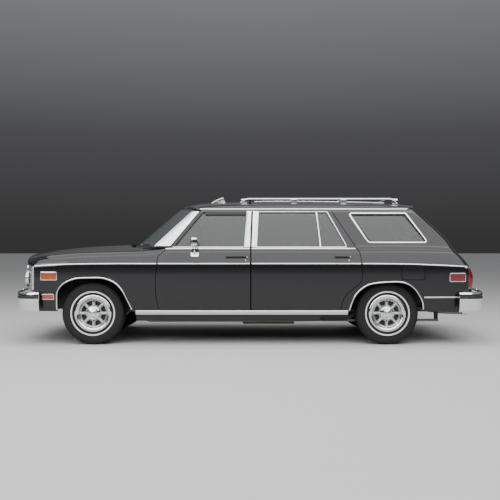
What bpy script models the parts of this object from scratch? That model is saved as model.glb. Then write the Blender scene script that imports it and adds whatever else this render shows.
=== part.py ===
"""Station wagon of the middle nineteen-seventies: four side doors, a long glazed load space, a sloping
tailgate, styled steel wheels and a roof rack.

Metres, +Z up. The nose points to -X, so the driver's side is -Y. The origin is on the ground, under the
middle of the overall length and width. Every panel is a wall cut from one of a few lofted body surfaces,
so that panels line up across their gaps.
"""

import math

import bmesh
import bpy
from mathutils import Matrix, Vector

# Main dimensions
KINGPIN_Y = 0.700
KINGPIN_RADIUS = 0.017
FRONT_AXLE_X = -1.606
REAR_AXLE_X = 1.404
HALF_WIDTH = 0.942
BODY_NOSE_X = -2.250
BUMPER_REACH = 0.220
OVERALL_HALF_LENGTH = BUMPER_REACH - BODY_NOSE_X
BODY_TAIL_X = 2.280

# Heights of the long lines of the body
SILL_Z = 0.245
DOOR_FOOT_Z = 0.362
CREASE_Z = 0.830
BELT_Z = 0.985
WINDOW_FOOT_Z = 1.002
WINDOW_TOP_Z = 1.358
RAIL_Z = 1.390
ROOF_Z = 1.500

# Walls, gaps and resolution
FENDER_WALL = 0.020
DOOR_WALL = 0.065
FRAME_WALL = 0.030
QUARTER_WALL = 0.030
ROOF_WALL = 0.025
HOOD_WALL = 0.022
GLASS_WALL = 0.006
PANEL_GAP = 0.006
PILLAR_GAP = 0.012
SEAT_GAP = 0.0003
KINGPIN_EDGE_Y = KINGPIN_Y - KINGPIN_RADIUS - SEAT_GAP
OVERRUN = 0.200
ARC_STEPS = 5

# Side form: how far the sill tucks under, the shoulder draws in and the ends narrow
TUCK_DEPTH = 0.100
DOOR_SHOULDER_INSET = 0.074
FENDER_TOP_INSET = 0.242
LEDGE_WIDTH = 0.024
CREASE_DROP = 0.030
SHOULDER_DROP = 0.070
PLAN_INSET = 0.050
GLASS_FOOT_Y = 0.852
RAIL_Y = 0.692
GLASS_BULGE = 0.014

# Side section below the crease: inset as a share of TUCK_DEPTH, rise as a share of the crease height
LOWER_SECTION_SHARES = ((1.00, 0.00), (0.48, 0.15), (0.14, 0.42), (0.02, 0.74), (0.00, 1.00))
# Above the crease, door and fender: inset as a share of the inset, rise as a share of the rise
DOOR_SECTION_SHARES = ((0.22, 0.35), (0.52, 0.70), (0.82, 0.91), (1.00, 1.00))
FENDER_SECTION_SHARES = ((0.06, 0.37), (0.17, 0.70), (0.38, 0.93), (1.00, 1.03))
# Greenhouse side: share of the way from the glass foot to the rail
GLASS_RISE_SHARES = (-0.16, 0.0, 0.25, 0.5, 0.75, 1.0)
# Along the body: station as a share of the length from nose to tail, then shares of CREASE_DROP,
# SHOULDER_DROP and PLAN_INSET, and how far the section is the fender's rather than the door's
LONG_LINE_SHARES = (
    (0.000, 1.00, 1.50, 1.10, 1.0),
    (0.020, 0.75, 0.95, 0.85, 1.0),
    (0.060, 0.40, 0.66, 0.52, 1.0),
    (0.110, 0.13, 0.40, 0.30, 1.0),
    (0.190, 0.00, 0.24, 0.08, 1.0),
    (0.250, 0.00, 0.16, 0.00, 0.75),
    (0.290, 0.00, 0.08, 0.00, 0.15),
    (0.325, 0.00, 0.00, 0.00, 0.0),
    (0.750, 0.00, 0.00, 0.00, 0.0),
    (0.850, 0.15, 0.00, 0.20, 0.0),
    (0.930, 0.60, 0.10, 0.60, 0.0),
    (1.000, 1.15, 0.30, 1.10, 0.0),
)


def between(low, high, share):
    """The value a share of the way from low to high."""
    return low + (high - low) * share


def along(x, xs, values):
    """Smooth curve through (xs, values), read at x and held level past its ends."""
    if x <= xs[0]:
        return values[0]
    if x >= xs[-1]:
        return values[-1]
    i = max(k for k in range(len(xs) - 1) if xs[k] <= x)

    def slope(k):
        low = max(k - 1, 0)
        high = min(k + 1, len(xs) - 1)
        return (values[high] - values[low]) / (xs[high] - xs[low])

    span = xs[i + 1] - xs[i]
    t = (x - xs[i]) / span
    start = (1 + 2 * t) * (1 - t) ** 2 * values[i] + t * (1 - t) ** 2 * span * slope(i)
    end = t * t * (3 - 2 * t) * values[i + 1] + t * t * (t - 1) * span * slope(i + 1)
    return start + end


STATION_XS = [between(BODY_NOSE_X, BODY_TAIL_X, row[0]) for row in LONG_LINE_SHARES]


def sized(shares, *lengths):
    """A table of shares turned into lengths, each column with its own full length."""
    return [tuple(share * length for share, length in zip(row, lengths)) for row in shares]


def placed(shares, low_x, high_x, low_z, high_z):
    """Points from shares of the way across and up a field."""
    return [(between(low_x, high_x, a), between(low_z, high_z, b)) for a, b in shares]


def shifted(line, distance):
    """An open line of points moved sideways by a distance, to the left of its direction."""
    moved = []
    for i, (a, b) in enumerate(line):
        back = Vector((a, b)) - Vector(line[i - 1]) if i else None
        ahead = Vector(line[i + 1]) - Vector((a, b)) if i + 1 < len(line) else None
        ways = [way.normalized() for way in (back, ahead) if way is not None]
        middle = sum(ways, Vector((0, 0))).normalized()
        reach = distance / middle.dot(ways[0])
        moved.append((a - middle.y * reach, b + middle.x * reach))
    return moved


def long_line(x, column):
    return along(x, STATION_XS, [row[column] for row in LONG_LINE_SHARES])


def side_section(x):
    """Points (half width, height) up the side at x, from the sill edge to the ledge below the glass."""
    crease = CREASE_Z - CREASE_DROP * long_line(x, 1)
    top = BELT_Z - SHOULDER_DROP * long_line(x, 2)
    width = HALF_WIDTH - PLAN_INSET * long_line(x, 3)
    fender = long_line(x, 4)
    points = []
    for inset, rise in LOWER_SECTION_SHARES:
        points.append((width - TUCK_DEPTH * inset, between(SILL_Z, crease, rise)))
    for door, wing in zip(DOOR_SECTION_SHARES, FENDER_SECTION_SHARES):
        inset = between(door[0] * DOOR_SHOULDER_INSET, wing[0] * FENDER_TOP_INSET, fender)
        points.append((width - inset, between(crease, top, between(door[1], wing[1], fender))))
    y, z = points[-1]
    points.append((y - LEDGE_WIDTH * between(1.0, 0.35, fender), z + LEDGE_WIDTH * between(0.3, 0.1, fender)))
    return points


def glass_y(x, z):
    """Half width of the greenhouse side at x and height z."""
    t = (z - BELT_Z) / (RAIL_Z - BELT_Z)
    draw = PLAN_INSET * long_line(x, 3)
    return between(GLASS_FOOT_Y, RAIL_Y, t) + GLASS_BULGE * 4 * t * (1 - t) - draw


# Scene, materials and small helpers


def clear_scene():
    for old in list(bpy.data.objects):
        bpy.data.objects.remove(old, do_unlink=True)


clear_scene()
PARTS = bpy.data.collections.new("station_wagon")
CUTTERS = bpy.data.collections.new("cutters")
bpy.context.scene.collection.children.link(PARTS)
bpy.context.scene.collection.children.link(CUTTERS)


def material(name, colour, roughness, metallic=0.0):
    made = bpy.data.materials.new(name)
    made.use_nodes = True
    shader = made.node_tree.nodes["Principled BSDF"]
    shader.inputs["Base Color"].default_value = (*colour, 1.0)
    shader.inputs["Roughness"].default_value = roughness
    shader.inputs["Metallic"].default_value = metallic
    made.diffuse_color = (*colour, 1.0)
    return made


PAINT = material("black_paint", (0.012, 0.012, 0.014), 0.12)
CHROME = material("chrome", (0.80, 0.81, 0.82), 0.08, 1.0)
GLASS = material("tinted_glass", (0.35, 0.40, 0.39), 0.05)
RUBBER = material("tyre_rubber", (0.025, 0.025, 0.026), 0.75)
STEEL = material("dark_steel", (0.06, 0.06, 0.065), 0.55, 0.6)
RIM_PAINT = material("silver_rim", (0.45, 0.46, 0.48), 0.30, 0.8)
VINYL = material("black_vinyl", (0.030, 0.030, 0.033), 0.60)
PLASTIC = material("black_plastic", (0.020, 0.020, 0.022), 0.50)
RED_LENS = material("red_lens", (0.45, 0.02, 0.03), 0.15)
LAMP_GLASS = material("lamp_glass", (0.70, 0.72, 0.72), 0.10)


def add(name, mesh, finish, collection=PARTS):
    made = bpy.data.objects.new(name, mesh)
    collection.objects.link(made)
    if finish is not None:
        mesh.materials.clear()
        mesh.materials.append(finish)
    if collection is CUTTERS:
        made.hide_render = True
        made.display_type = "WIRE"
    return made


def mesh_of(bm, name):
    mesh = bpy.data.meshes.new(name)
    bm.to_mesh(mesh)
    bm.free()
    return mesh


def loft(name, rows, finish=None, collection=PARTS, closed=False):
    """A surface through rows of points. Closed rows are sections of a tube, whose ends are capped."""
    bm = bmesh.new()
    made = [[bm.verts.new(point) for point in row] for row in rows]
    count = len(rows[0])
    for near, far in zip(made, made[1:]):
        for i in range(count if closed else count - 1):
            j = (i + 1) % count
            bm.faces.new((near[i], far[i], far[j], near[j]))
    if closed:
        bm.faces.new(list(reversed(made[0])))
        bm.faces.new(made[-1])
        bmesh.ops.recalc_face_normals(bm, faces=bm.faces)
    return add(name, mesh_of(bm, name), finish, collection)


def wall(body, thickness):
    """Gives an open surface its thickness, inwards from the outer face."""
    made = body.modifiers.new("wall", "SOLIDIFY")
    made.thickness = thickness
    made.offset = -1.0
    made.use_even_offset = True
    return body


def shell(body, inward, outward):
    """Thickens an open surface both ways."""
    made = body.modifiers.new("shell", "SOLIDIFY")
    made.thickness = inward + outward
    made.offset = (outward - inward) / (inward + outward)
    made.use_even_offset = True
    return body


def boolean(body, operation, tool):
    made = body.modifiers.new(operation.lower(), "BOOLEAN")
    made.operation = operation
    made.object = tool
    made.solver = "EXACT"
    return body


def cut(body, *tools):
    for tool in tools:
        boolean(body, "DIFFERENCE", tool)
    return body


def join(body, *tools):
    for tool in tools:
        boolean(body, "UNION", tool)
    return body


def keep(body, tool):
    return boolean(body, "INTERSECT", tool)


def rounded(corners):
    """Outline points from corners (a, b, radius), each corner of some radius becoming an arc."""
    points = []
    count = len(corners)
    for i, (a, b, radius) in enumerate(corners):
        here = Vector((a, b))
        if not radius:
            points.append(here)
            continue
        back = (Vector(corners[i - 1][:2]) - here).normalized()
        ahead = (Vector(corners[(i + 1) % count][:2]) - here).normalized()
        half = back.angle(ahead) / 2
        centre = here + (back + ahead).normalized() * radius / math.sin(half)
        first = here + back * radius / math.tan(half) - centre
        turn = first.angle_signed(here + ahead * radius / math.tan(half) - centre)
        for k in range(ARC_STEPS + 1):
            points.append(centre + Matrix.Rotation(-turn * k / ARC_STEPS, 2) @ first)
    return points


def plate(name, outline, low, high, axis="Y", finish=None, collection=PARTS):
    """A flat outline extruded between low and high along an axis. Its points are (x, z) for Y, (y, z)
    for X and (x, y) for Z."""
    curve = bpy.data.curves.new(name, "CURVE")
    curve.dimensions = "2D"
    curve.fill_mode = "BOTH"
    curve.extrude = (high - low) / 2
    spline = curve.splines.new("POLY")
    spline.points.add(len(outline) - 1)
    for point, (a, b) in zip(spline.points, outline):
        point.co = (a, b, 0, 1)
    spline.use_cyclic_u = True
    made = bpy.data.objects.new(name, curve)
    bpy.context.scene.collection.objects.link(made)
    middle = (low + high) / 2
    turns = {
        "Y": Matrix(((1, 0, 0, 0), (0, 0, -1, middle), (0, 1, 0, 0), (0, 0, 0, 1))),
        "X": Matrix(((0, 0, 1, middle), (1, 0, 0, 0), (0, 1, 0, 0), (0, 0, 0, 1))),
        "Z": Matrix(((1, 0, 0, 0), (0, 1, 0, 0), (0, 0, 1, middle), (0, 0, 0, 1))),
    }
    bpy.context.view_layer.update()
    mesh = bpy.data.meshes.new_from_object(made.evaluated_get(bpy.context.evaluated_depsgraph_get()))
    bpy.data.objects.remove(made)
    mesh.transform(turns[axis])
    bm = bmesh.new()
    bm.from_mesh(mesh)
    bmesh.ops.remove_doubles(bm, verts=bm.verts, dist=WELD)
    bmesh.ops.dissolve_limit(bm, angle_limit=FLAT_ANGLE, verts=bm.verts, edges=bm.edges)
    bmesh.ops.recalc_face_normals(bm, faces=bm.faces)
    bpy.data.meshes.remove(mesh)
    return add(name, mesh_of(bm, name), finish, collection)


WELD = 0.00005
FLAT_ANGLE = math.radians(0.1)


def cutter(name, outline, low, high, axis="Y"):
    return plate(name, outline, low, high, axis, None, CUTTERS)


def box(name, low, high, finish=None, collection=PARTS, bevel=0.0):
    bm = bmesh.new()
    bmesh.ops.create_cube(bm, size=1.0)
    low, high = Vector(low), Vector(high)
    bmesh.ops.scale(bm, vec=high - low, verts=bm.verts)
    bmesh.ops.translate(bm, vec=(low + high) / 2, verts=bm.verts)
    made = add(name, mesh_of(bm, name), finish, collection)
    if bevel:
        soften(made, bevel)
    return made


def soften(body, width, segments=1):
    made = body.modifiers.new("bevel", "BEVEL")
    made.width = width
    made.segments = segments
    made.limit_method = "ANGLE"
    return body


def cylinder(name, centre, radius, length, axis, finish=None, collection=PARTS, sides=32, far_radius=None):
    bm = bmesh.new()
    end = radius if far_radius is None else far_radius
    bmesh.ops.create_cone(bm, cap_ends=True, segments=sides, radius1=radius, radius2=end, depth=length)
    turn = {"X": Matrix.Rotation(math.pi / 2, 4, "Y"), "Y": Matrix.Rotation(-math.pi / 2, 4, "X")}
    bmesh.ops.transform(bm, matrix=turn.get(axis, Matrix.Identity(4)), verts=bm.verts)
    bmesh.ops.translate(bm, vec=centre, verts=bm.verts)
    return add(name, mesh_of(bm, name), finish, collection)


def baked(body):
    """The mesh of a body with its modifiers applied."""
    bpy.context.view_layer.update()
    graph = bpy.context.evaluated_depsgraph_get()
    return bpy.data.meshes.new_from_object(body.evaluated_get(graph))


def other_side(body, name):
    """A mirror image of a finished left-hand body, as its own right-hand body."""
    mesh = baked(body)
    mesh.transform(Matrix.Diagonal((1, -1, 1, 1)))
    mesh.flip_normals()
    return add(name, mesh, None)


def revolve(name, profile, centre, steps, finish):
    """A profile of (distance along Y, radius) turned about an axis through the centre along Y."""
    bm = bmesh.new()
    points = [bm.verts.new((0.0, along_y, radius)) for along_y, radius in profile]
    edges = [bm.edges.new(pair) for pair in zip(points, points[1:] + points[:1])]
    turned = bmesh.ops.spin(
        bm, geom=points + edges, cent=(0, 0, 0), axis=(0, 1, 0), angle=math.tau, steps=steps, use_merge=True
    )
    del turned
    bmesh.ops.remove_doubles(bm, verts=bm.verts, dist=WELD)
    bmesh.ops.recalc_face_normals(bm, faces=bm.faces)
    bmesh.ops.translate(bm, vec=centre, verts=bm.verts)
    return add(name, mesh_of(bm, name), finish)


def on_joint(name, place, *bodies):
    """Hangs moving bodies on an empty that stands on their joint's axis."""
    axle = bpy.data.objects.new(name + "_axis", None)
    PARTS.objects.link(axle)
    axle.location = place
    bpy.context.view_layer.update()
    for body in bodies:
        body.parent = axle
        body.matrix_parent_inverse = axle.matrix_world.inverted()


def smooth(body):
    for face in body.data.polygons:
        face.use_smooth = True
    body.data.set_sharp_from_angle(angle=SHARP_ANGLE)


SHARP_ANGLE = math.radians(32)


# Side outlines in side view, as (x, z, corner radius)
DOOR_FRONT_X = -0.938
DOOR_SPLIT_X = 0.008
DOOR_REAR_X = 1.128
DOOR_CORNER = 0.012
PILLAR_FOOT_X = -0.812
PILLAR_TOP_X = -0.505
PILLAR_LEAN = 0.017
REAR_FRAME_TOP_X = 0.835
REAR_FRAME_FOOT_X = 1.086
DOOR_TOP_Z = RAIL_Z - PANEL_GAP
# The front door's leading edge: x behind DOOR_FRONT_X as a share of its bow, height as a share
DOOR_EDGE_BOW = 0.015
DOOR_EDGE_SHARES = ((-1.00, 0.00), (0.40, 0.25), (1.00, 0.55), (0.00, 1.00))
DOOR_EDGE_TURN_Z = 0.905
# The rear door's trailing edge down over the wheel arch: shares of the step from the edge to the foot
REAR_FOOT_X = 0.918
REAR_EDGE_TURN_Z = 0.680
REAR_EDGE_SHARES = ((1.00, 1.00), (0.92, 0.86), (0.62, 0.70), (0.30, 0.52), (0.12, 0.34), (0.0, 0.0))


def front_door_edge(gap=0.0):
    """Front edge of the front door from its foot up the pillar, moved away from the door by a gap."""
    edge = []
    for bow, rise in DOOR_EDGE_SHARES:
        edge.append((DOOR_FRONT_X - DOOR_EDGE_BOW * bow, between(DOOR_FOOT_Z, CREASE_Z, rise)))
    edge.append((DOOR_FRONT_X + DOOR_EDGE_BOW * 0.5, DOOR_EDGE_TURN_Z))
    edge.append((PILLAR_FOOT_X, WINDOW_FOOT_Z))
    edge.append((PILLAR_TOP_X, DOOR_TOP_Z))
    return shifted(edge, gap)


def rear_door_edge(gap=0.0):
    """Rear edge of the rear door from the top of its frame down to its foot, moved away by a gap."""
    edge = [
        (REAR_FRAME_TOP_X, DOOR_TOP_Z),
        (REAR_FRAME_FOOT_X, BELT_Z),
        (between(REAR_FRAME_FOOT_X, DOOR_REAR_X, 0.62), between(CREASE_Z, BELT_Z, 0.72)),
        (DOOR_REAR_X, CREASE_Z),
    ]
    for x_share, z_share in REAR_EDGE_SHARES:
        x = between(REAR_FOOT_X, DOOR_REAR_X, x_share)
        edge.append((x, between(DOOR_FOOT_Z, REAR_EDGE_TURN_Z, z_share)))
    return shifted(edge, gap)


def square(points):
    """Outline corners without rounding."""
    return [(a, b, 0.0) for a, b in points]


FAR_OUT = -1.300
SIDE_IN = -0.300
DOOR_SPLIT_TOP_X = DOOR_SPLIT_X + PILLAR_LEAN


def split_edge(offset):
    """The line between the two doors, from top to foot."""
    return [
        (DOOR_SPLIT_TOP_X + offset, DOOR_TOP_Z, DOOR_CORNER),
        (DOOR_SPLIT_X + offset, BELT_Z, 0.0),
        (DOOR_SPLIT_X + offset, DOOR_FOOT_Z, DOOR_CORNER),
    ]


def front_door_outline():
    return rounded(square(front_door_edge()) + split_edge(-PILLAR_GAP / 2))


def rear_door_outline():
    leading = list(reversed(split_edge(PILLAR_GAP / 2)))
    return rounded(leading + square(rear_door_edge()))


# Window openings as (x, z, corner radius), inside the door frames
FRAME_BAR_WIDTH = 0.030
WINDOW_CORNER = 0.030
FRONT_WINDOW_REAR_FOOT_X = -0.066
FRONT_WINDOW_REAR_TOP_X = -0.034
REAR_WINDOW_FRONT_FOOT_X = 0.072
REAR_WINDOW_FRONT_TOP_X = 0.092
REAR_WINDOW_TOP_X = 0.792
REAR_WINDOW_FOOT_X = 0.985


def pillar_x(z):
    """The line between the windscreen pillar and the front door's frame."""
    return between(PILLAR_FOOT_X, PILLAR_TOP_X, (z - WINDOW_FOOT_Z) / (DOOR_TOP_Z - WINDOW_FOOT_Z))


def front_window(shrink=0.0):
    low, high = WINDOW_FOOT_Z + shrink, WINDOW_TOP_Z - shrink
    slant = FRAME_BAR_WIDTH * 1.35 + shrink * 1.4
    return rounded(
        [
            (pillar_x(low) + slant, low, 0.0),
            (pillar_x(high) + slant, high, WINDOW_CORNER),
            (FRONT_WINDOW_REAR_TOP_X - shrink, high, WINDOW_CORNER / 2),
            (FRONT_WINDOW_REAR_FOOT_X - shrink, low, 0.0),
        ]
    )


def rear_window(shrink=0.0):
    low, high = WINDOW_FOOT_Z + shrink, WINDOW_TOP_Z - shrink
    return rounded(
        [
            (REAR_WINDOW_FRONT_FOOT_X + shrink, low, 0.0),
            (REAR_WINDOW_FRONT_TOP_X + shrink, high, WINDOW_CORNER / 2),
            (REAR_WINDOW_TOP_X - shrink * 1.5, high, WINDOW_CORNER / 2),
            (REAR_WINDOW_FOOT_X - shrink * 1.5, low, WINDOW_CORNER / 2),
        ]
    )


# Quarter window
QUARTER_WINDOW_TOP_Z = 1.340
QUARTER_WINDOW_FOOT_Z = 1.052
QUARTER_WINDOW_FRONT_TOP_X = 1.035
QUARTER_WINDOW_FRONT_FOOT_X = 1.222
QUARTER_WINDOW_REAR_FOOT_X = 1.815
QUARTER_WINDOW_REAR_TOP_X = 1.610
QUARTER_WINDOW_CORNER = 0.050


def quarter_window(shrink=0.0):
    low, high = QUARTER_WINDOW_FOOT_Z + shrink, QUARTER_WINDOW_TOP_Z - shrink
    side = shrink * 1.3
    return rounded(
        [
            (QUARTER_WINDOW_FRONT_FOOT_X + side, low, QUARTER_WINDOW_CORNER),
            (QUARTER_WINDOW_FRONT_TOP_X + side, high, QUARTER_WINDOW_CORNER / 3),
            (QUARTER_WINDOW_REAR_TOP_X - side, high, QUARTER_WINDOW_CORNER / 3),
            (QUARTER_WINDOW_REAR_FOOT_X - side, low, QUARTER_WINDOW_CORNER / 3),
        ]
    )


# Wheel arches, as shares of the half opening either side of the axle and of the height to the top
ARCH_TOP_Z = 0.680
REAR_ARCH_TOP_Z = 0.642
ARCH_FOOT_Z = 0.180
ARCH_AHEAD = 0.351
ARCH_BEHIND = 0.392
REAR_ARCH_AHEAD = 0.400
REAR_ARCH_BEHIND = 0.346
FRONT_ARCH_SHARES = (
    (-1.00, -0.30), (-1.00, 0.66), (-0.93, 0.80), (-0.76, 0.91), (-0.48, 0.99), (0.00, 1.01),
    (0.32, 1.00), (0.58, 0.92), (0.76, 0.79), (0.90, 0.60), (1.10, 0.22), (1.28, -0.30),
)
REAR_ARCH_SHARES = (
    (-1.16, -0.30), (-0.96, 0.44), (-0.86, 0.68), (-0.70, 0.84), (-0.48, 0.95), (0.00, 1.00),
    (0.42, 0.99), (0.66, 0.91), (0.84, 0.77), (0.99, 0.56), (1.02, 0.36), (1.02, -0.30),
)


def arch_outline(axle_x, ahead, behind, top, shares, grow=0.0):
    """Opening of a wheel arch in side view. Positive shares run behind the axle."""
    points = []
    for along_x, up in shares:
        reach = (behind if along_x > 0 else ahead) + grow
        points.append((axle_x + along_x * reach, between(ARCH_FOOT_Z, top + grow, up)))
    return points


def front_arch(grow=0.0):
    return arch_outline(FRONT_AXLE_X, ARCH_AHEAD, ARCH_BEHIND, ARCH_TOP_Z, FRONT_ARCH_SHARES, grow)


def rear_arch(grow=0.0):
    return arch_outline(REAR_AXLE_X, REAR_ARCH_AHEAD, REAR_ARCH_BEHIND, REAR_ARCH_TOP_Z, REAR_ARCH_SHARES, grow)


# Tail line in side view: height as a share from the bumper shelf to the roof, x as a share of the rake
TAIL_FOOT_Z = 0.340
TAIL_TOP_Z = 1.452
TAIL_TOP_X = 1.640
TAIL_LINE_SHARES = (
    (0.00, 0.94), (0.20, 0.985), (0.27, 1.00), (0.34, 0.992), (0.41, 0.938), (0.48, 0.858), (0.55, 0.753),
    (0.65, 0.640), (0.74, 0.495), (0.83, 0.335), (0.90, 0.215), (0.94, 0.145), (0.975, 0.065), (1.00, 0.00),
)


def tail_x(z):
    """Where the tail stands at height z, at the body's corner."""
    share = (z - TAIL_FOOT_Z) / (TAIL_TOP_Z - TAIL_FOOT_Z)
    heights = [row[0] for row in TAIL_LINE_SHARES]
    leans = [row[1] for row in TAIL_LINE_SHARES]
    return between(TAIL_TOP_X, BODY_TAIL_X, along(share, heights, leans))


# Body side surfaces

FENDER_STATIONS = 11
DOOR_STATIONS = 4


def side_rows(low_x, high_x, steps, ledge=True):
    rows = []
    for i in range(steps + 1):
        x = between(low_x, high_x, i / steps)
        section = side_section(x)
        rows.append([(x, -y, z) for y, z in (section if ledge else section[:-1])])
    return rows


def glass_rows(low_x, high_x, steps, inset=0.0):
    rows = []
    for i in range(steps + 1):
        x = between(low_x, high_x, i / steps)
        row = []
        for share in GLASS_RISE_SHARES:
            z = between(BELT_Z, RAIL_Z, share)
            row.append((x, -(glass_y(x, z) - inset), z))
        rows.append(row)
    return rows


# Front fenders
FENDER_FRONT_X = -2.195
FENDER_FOOT_Z = 0.345
BAY_FRONT_X = -2.300
BAY_REAR_X = -0.940
BAY_SHARES = (0.0, 0.14705882, 0.29411765, 0.51470588, 0.69852941, 0.80882353, 0.86764706, 0.91176471, 0.95588235, 1.0)
BAY_XS = [between(BAY_FRONT_X, BAY_REAR_X, share) for share in BAY_SHARES]
BAY_FOOT_Z = 0.860


def fender_edge(x):
    """Half width and height of the fender's inner top edge at x."""
    return side_section(x)[-1]


def fender_outline():
    edge = front_door_edge(PANEL_GAP)
    top = edge[-1][1]
    foot = [(FENDER_FRONT_X, FENDER_FOOT_Z), (edge[0][0], FENDER_FOOT_Z)]
    return foot + edge[1:] + [(FENDER_FRONT_X, top)]


def build_fenders():
    fender = loft("fender_left", side_rows(BODY_NOSE_X, PILLAR_FOOT_X + OVERRUN / 4, FENDER_STATIONS), PAINT)
    wall(fender, FENDER_WALL)
    keep(fender, cutter("fender_outline", fender_outline(), FAR_OUT, SIDE_IN))
    cut(fender, cutter("front_arch", front_arch(), FAR_OUT, SIDE_IN))
    bay = [(x, -fender_edge(x)[0]) for x in BAY_XS]
    inward = [(BAY_XS[-1], SIDE_IN), (BAY_XS[0], SIDE_IN)]
    cut(fender, cutter("hood_bay", bay + inward, BAY_FOOT_Z, ROOF_Z, "Z"))
    other_side(fender, "fender_right")


# Doors


def door_body(name, low_x, high_x, outline, window):
    """One door: its body, with a thinner window frame above the belt."""
    door = loft(name, side_rows(low_x - OVERRUN, high_x + OVERRUN, DOOR_STATIONS, ledge=False), PAINT)
    wall(door, DOOR_WALL)
    keep(door, cutter(name + "_outline", outline, FAR_OUT, SIDE_IN))
    frame = loft(name + "_frame", glass_rows(low_x - OVERRUN, high_x + OVERRUN, DOOR_STATIONS), None, CUTTERS)
    wall(frame, FRAME_WALL)
    keep(frame, bpy.data.objects[name + "_outline"])
    join(door, frame)
    cut(door, cutter(name + "_window", window, FAR_OUT, SIDE_IN))
    return door


def side_glass(name, low_x, high_x, outline):
    glass = loft(name, glass_rows(low_x - OVERRUN, high_x + OVERRUN, DOOR_STATIONS, FRAME_WALL * 0.4), GLASS)
    wall(glass, GLASS_WALL)
    keep(glass, cutter(name + "_outline", outline, FAR_OUT, SIDE_IN))
    return glass


HINGE_INSET = 0.004
HINGE_BACK = 0.036
HINGE_ROOT = 0.045
LOW_HINGE_Z = 0.500
HIGH_HINGE_Z = 0.780
STRAP_HEIGHT = 0.036
STRAP_SPREAD = math.radians(7)
STRAP_SHARES = (-1.0, -0.5, 0.0, 0.5, 1.0)
FRONT_STRAP_TURN = math.radians(110)
REAR_STRAP_TURN = math.radians(92)
HINGE_POST_X = -0.968
CABIN_INSET = 0.142
CABIN_HALF = HALF_WIDTH - CABIN_INSET
B_POST_FACE_Y = 0.785


def build_doors():
    hinge_y = -(HALF_WIDTH - HINGE_INSET)
    front = door_body("front_door_left", DOOR_FRONT_X, DOOR_SPLIT_X, front_door_outline(), front_window())
    rear = door_body("rear_door_left", DOOR_SPLIT_X, DOOR_REAR_X, rear_door_outline(), rear_window())
    front_glass = side_glass("front_glass_left", DOOR_FRONT_X, DOOR_SPLIT_X, front_window(SEAT_GAP))
    rear_glass = side_glass("rear_glass_left", DOOR_SPLIT_X, DOOR_REAR_X, rear_window(SEAT_GAP))
    mirror = build_mirror()
    hinge_xs = (DOOR_FRONT_X - DOOR_EDGE_BOW + HINGE_BACK, DOOR_SPLIT_X + PILLAR_GAP / 2 + HINGE_BACK)
    post = math.dist((hinge_xs[0], hinge_y), (HINGE_POST_X, -CABIN_HALF)) - SEAT_GAP
    b_post = B_POST_FACE_Y + hinge_y
    for bodies, x, name, reach, middle in (
        ((front, front_glass, mirror), hinge_xs[0], "front_door", post, FRONT_STRAP_TURN),
        ((rear, rear_glass), hinge_xs[1], "rear_door", -b_post - SEAT_GAP, REAR_STRAP_TURN),
    ):
        for z in (LOW_HINGE_Z, HIGH_HINGE_Z):
            turns = [middle + STRAP_SPREAD * share for share in STRAP_SHARES]
            arc = [(x + reach * math.cos(turn), hinge_y + reach * math.sin(turn)) for turn in turns]
            for turn in (turns[-1], turns[0]):
                arc.append((x + HINGE_ROOT * math.cos(turn), hinge_y + HINGE_ROOT * math.sin(turn)))
            join(bodies[0], cutter(name + "_strap", arc, z - STRAP_HEIGHT / 2, z + STRAP_HEIGHT / 2, "Z"))
        twins = [other_side(body, body.name.replace("left", "right")) for body in bodies]
        on_joint(name + "_left", (x, hinge_y, CREASE_Z), *bodies)
        on_joint(name + "_right", (x, -hinge_y, CREASE_Z), *twins)


# Door mirrors, each a rounded head on a short stalk
MIRROR_X = -0.560
MIRROR_Y = 0.935
MIRROR_Z = 1.052
MIRROR_LENGTH = 0.070
MIRROR_WIDTH = 0.105
MIRROR_HEIGHT = 0.094
MIRROR_BASE_Z = 0.925
MIRROR_STALK = 0.016


def build_mirror():
    low = (MIRROR_X - MIRROR_LENGTH / 2, -MIRROR_Y - MIRROR_WIDTH / 2, MIRROR_Z - MIRROR_HEIGHT / 2)
    high = (MIRROR_X + MIRROR_LENGTH / 2, -MIRROR_Y + MIRROR_WIDTH / 2, MIRROR_Z + MIRROR_HEIGHT / 2)
    head = box("mirror_left", low, high, CHROME, PARTS, MIRROR_LENGTH / 5)
    section = side_section(MIRROR_X)
    foot_y = -along(MIRROR_BASE_Z, [z for _, z in section[4:9]], [y for y, _ in section[4:9]]) + SEAT_GAP
    rows = []
    for y, z, size in (
        (foot_y, MIRROR_BASE_Z, MIRROR_STALK * 1.4),
        (foot_y - MIRROR_STALK, between(MIRROR_BASE_Z, MIRROR_Z, 0.3), MIRROR_STALK),
        (-MIRROR_Y, MIRROR_Z - MIRROR_HEIGHT / 4, MIRROR_STALK),
    ):
        turn = [math.tau * k / 8 for k in range(8)]
        rows.append([(MIRROR_X + size * math.cos(a), y + size * 0.6 * math.sin(a) - size * 0.6, z) for a in turn])
    join(head, loft("mirror_stalk", rows, None, CUTTERS, closed=True))
    return head


# Tail surface: quarters, tailgate and lamps all lie on it
TAIL_CORNER = 0.055
TAIL_BOW = 0.055
TAIL_CORNER_SHARES = (0.30, 0.62, 0.86, 1.00)
SETTLING_STEPS = 12


def side_y(x, z):
    """Half width of the body at x and height z, above the crease's foot and up to the rail."""
    section = side_section(x)[:-1]
    if z >= section[-1][1]:
        return glass_y(x, z)
    return along(z, [point[1] for point in section], [point[0] for point in section])


def corner_x(z):
    """Where the side ends and the tail's rounded corner begins, at height z."""
    return tail_x(z) - TAIL_CORNER


def tail_surface_x(y, z):
    """The tail's surface at half width y and height z."""
    start = side_y(corner_x(z), z) - TAIL_CORNER
    y = abs(y)
    if y <= start:
        return tail_x(z) + TAIL_BOW * (start**2 - y**2) / HALF_WIDTH**2
    past = min(1.0, (y - start) / TAIL_CORNER)
    return corner_x(z) + TAIL_CORNER * math.sqrt(1 - past**2)


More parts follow.
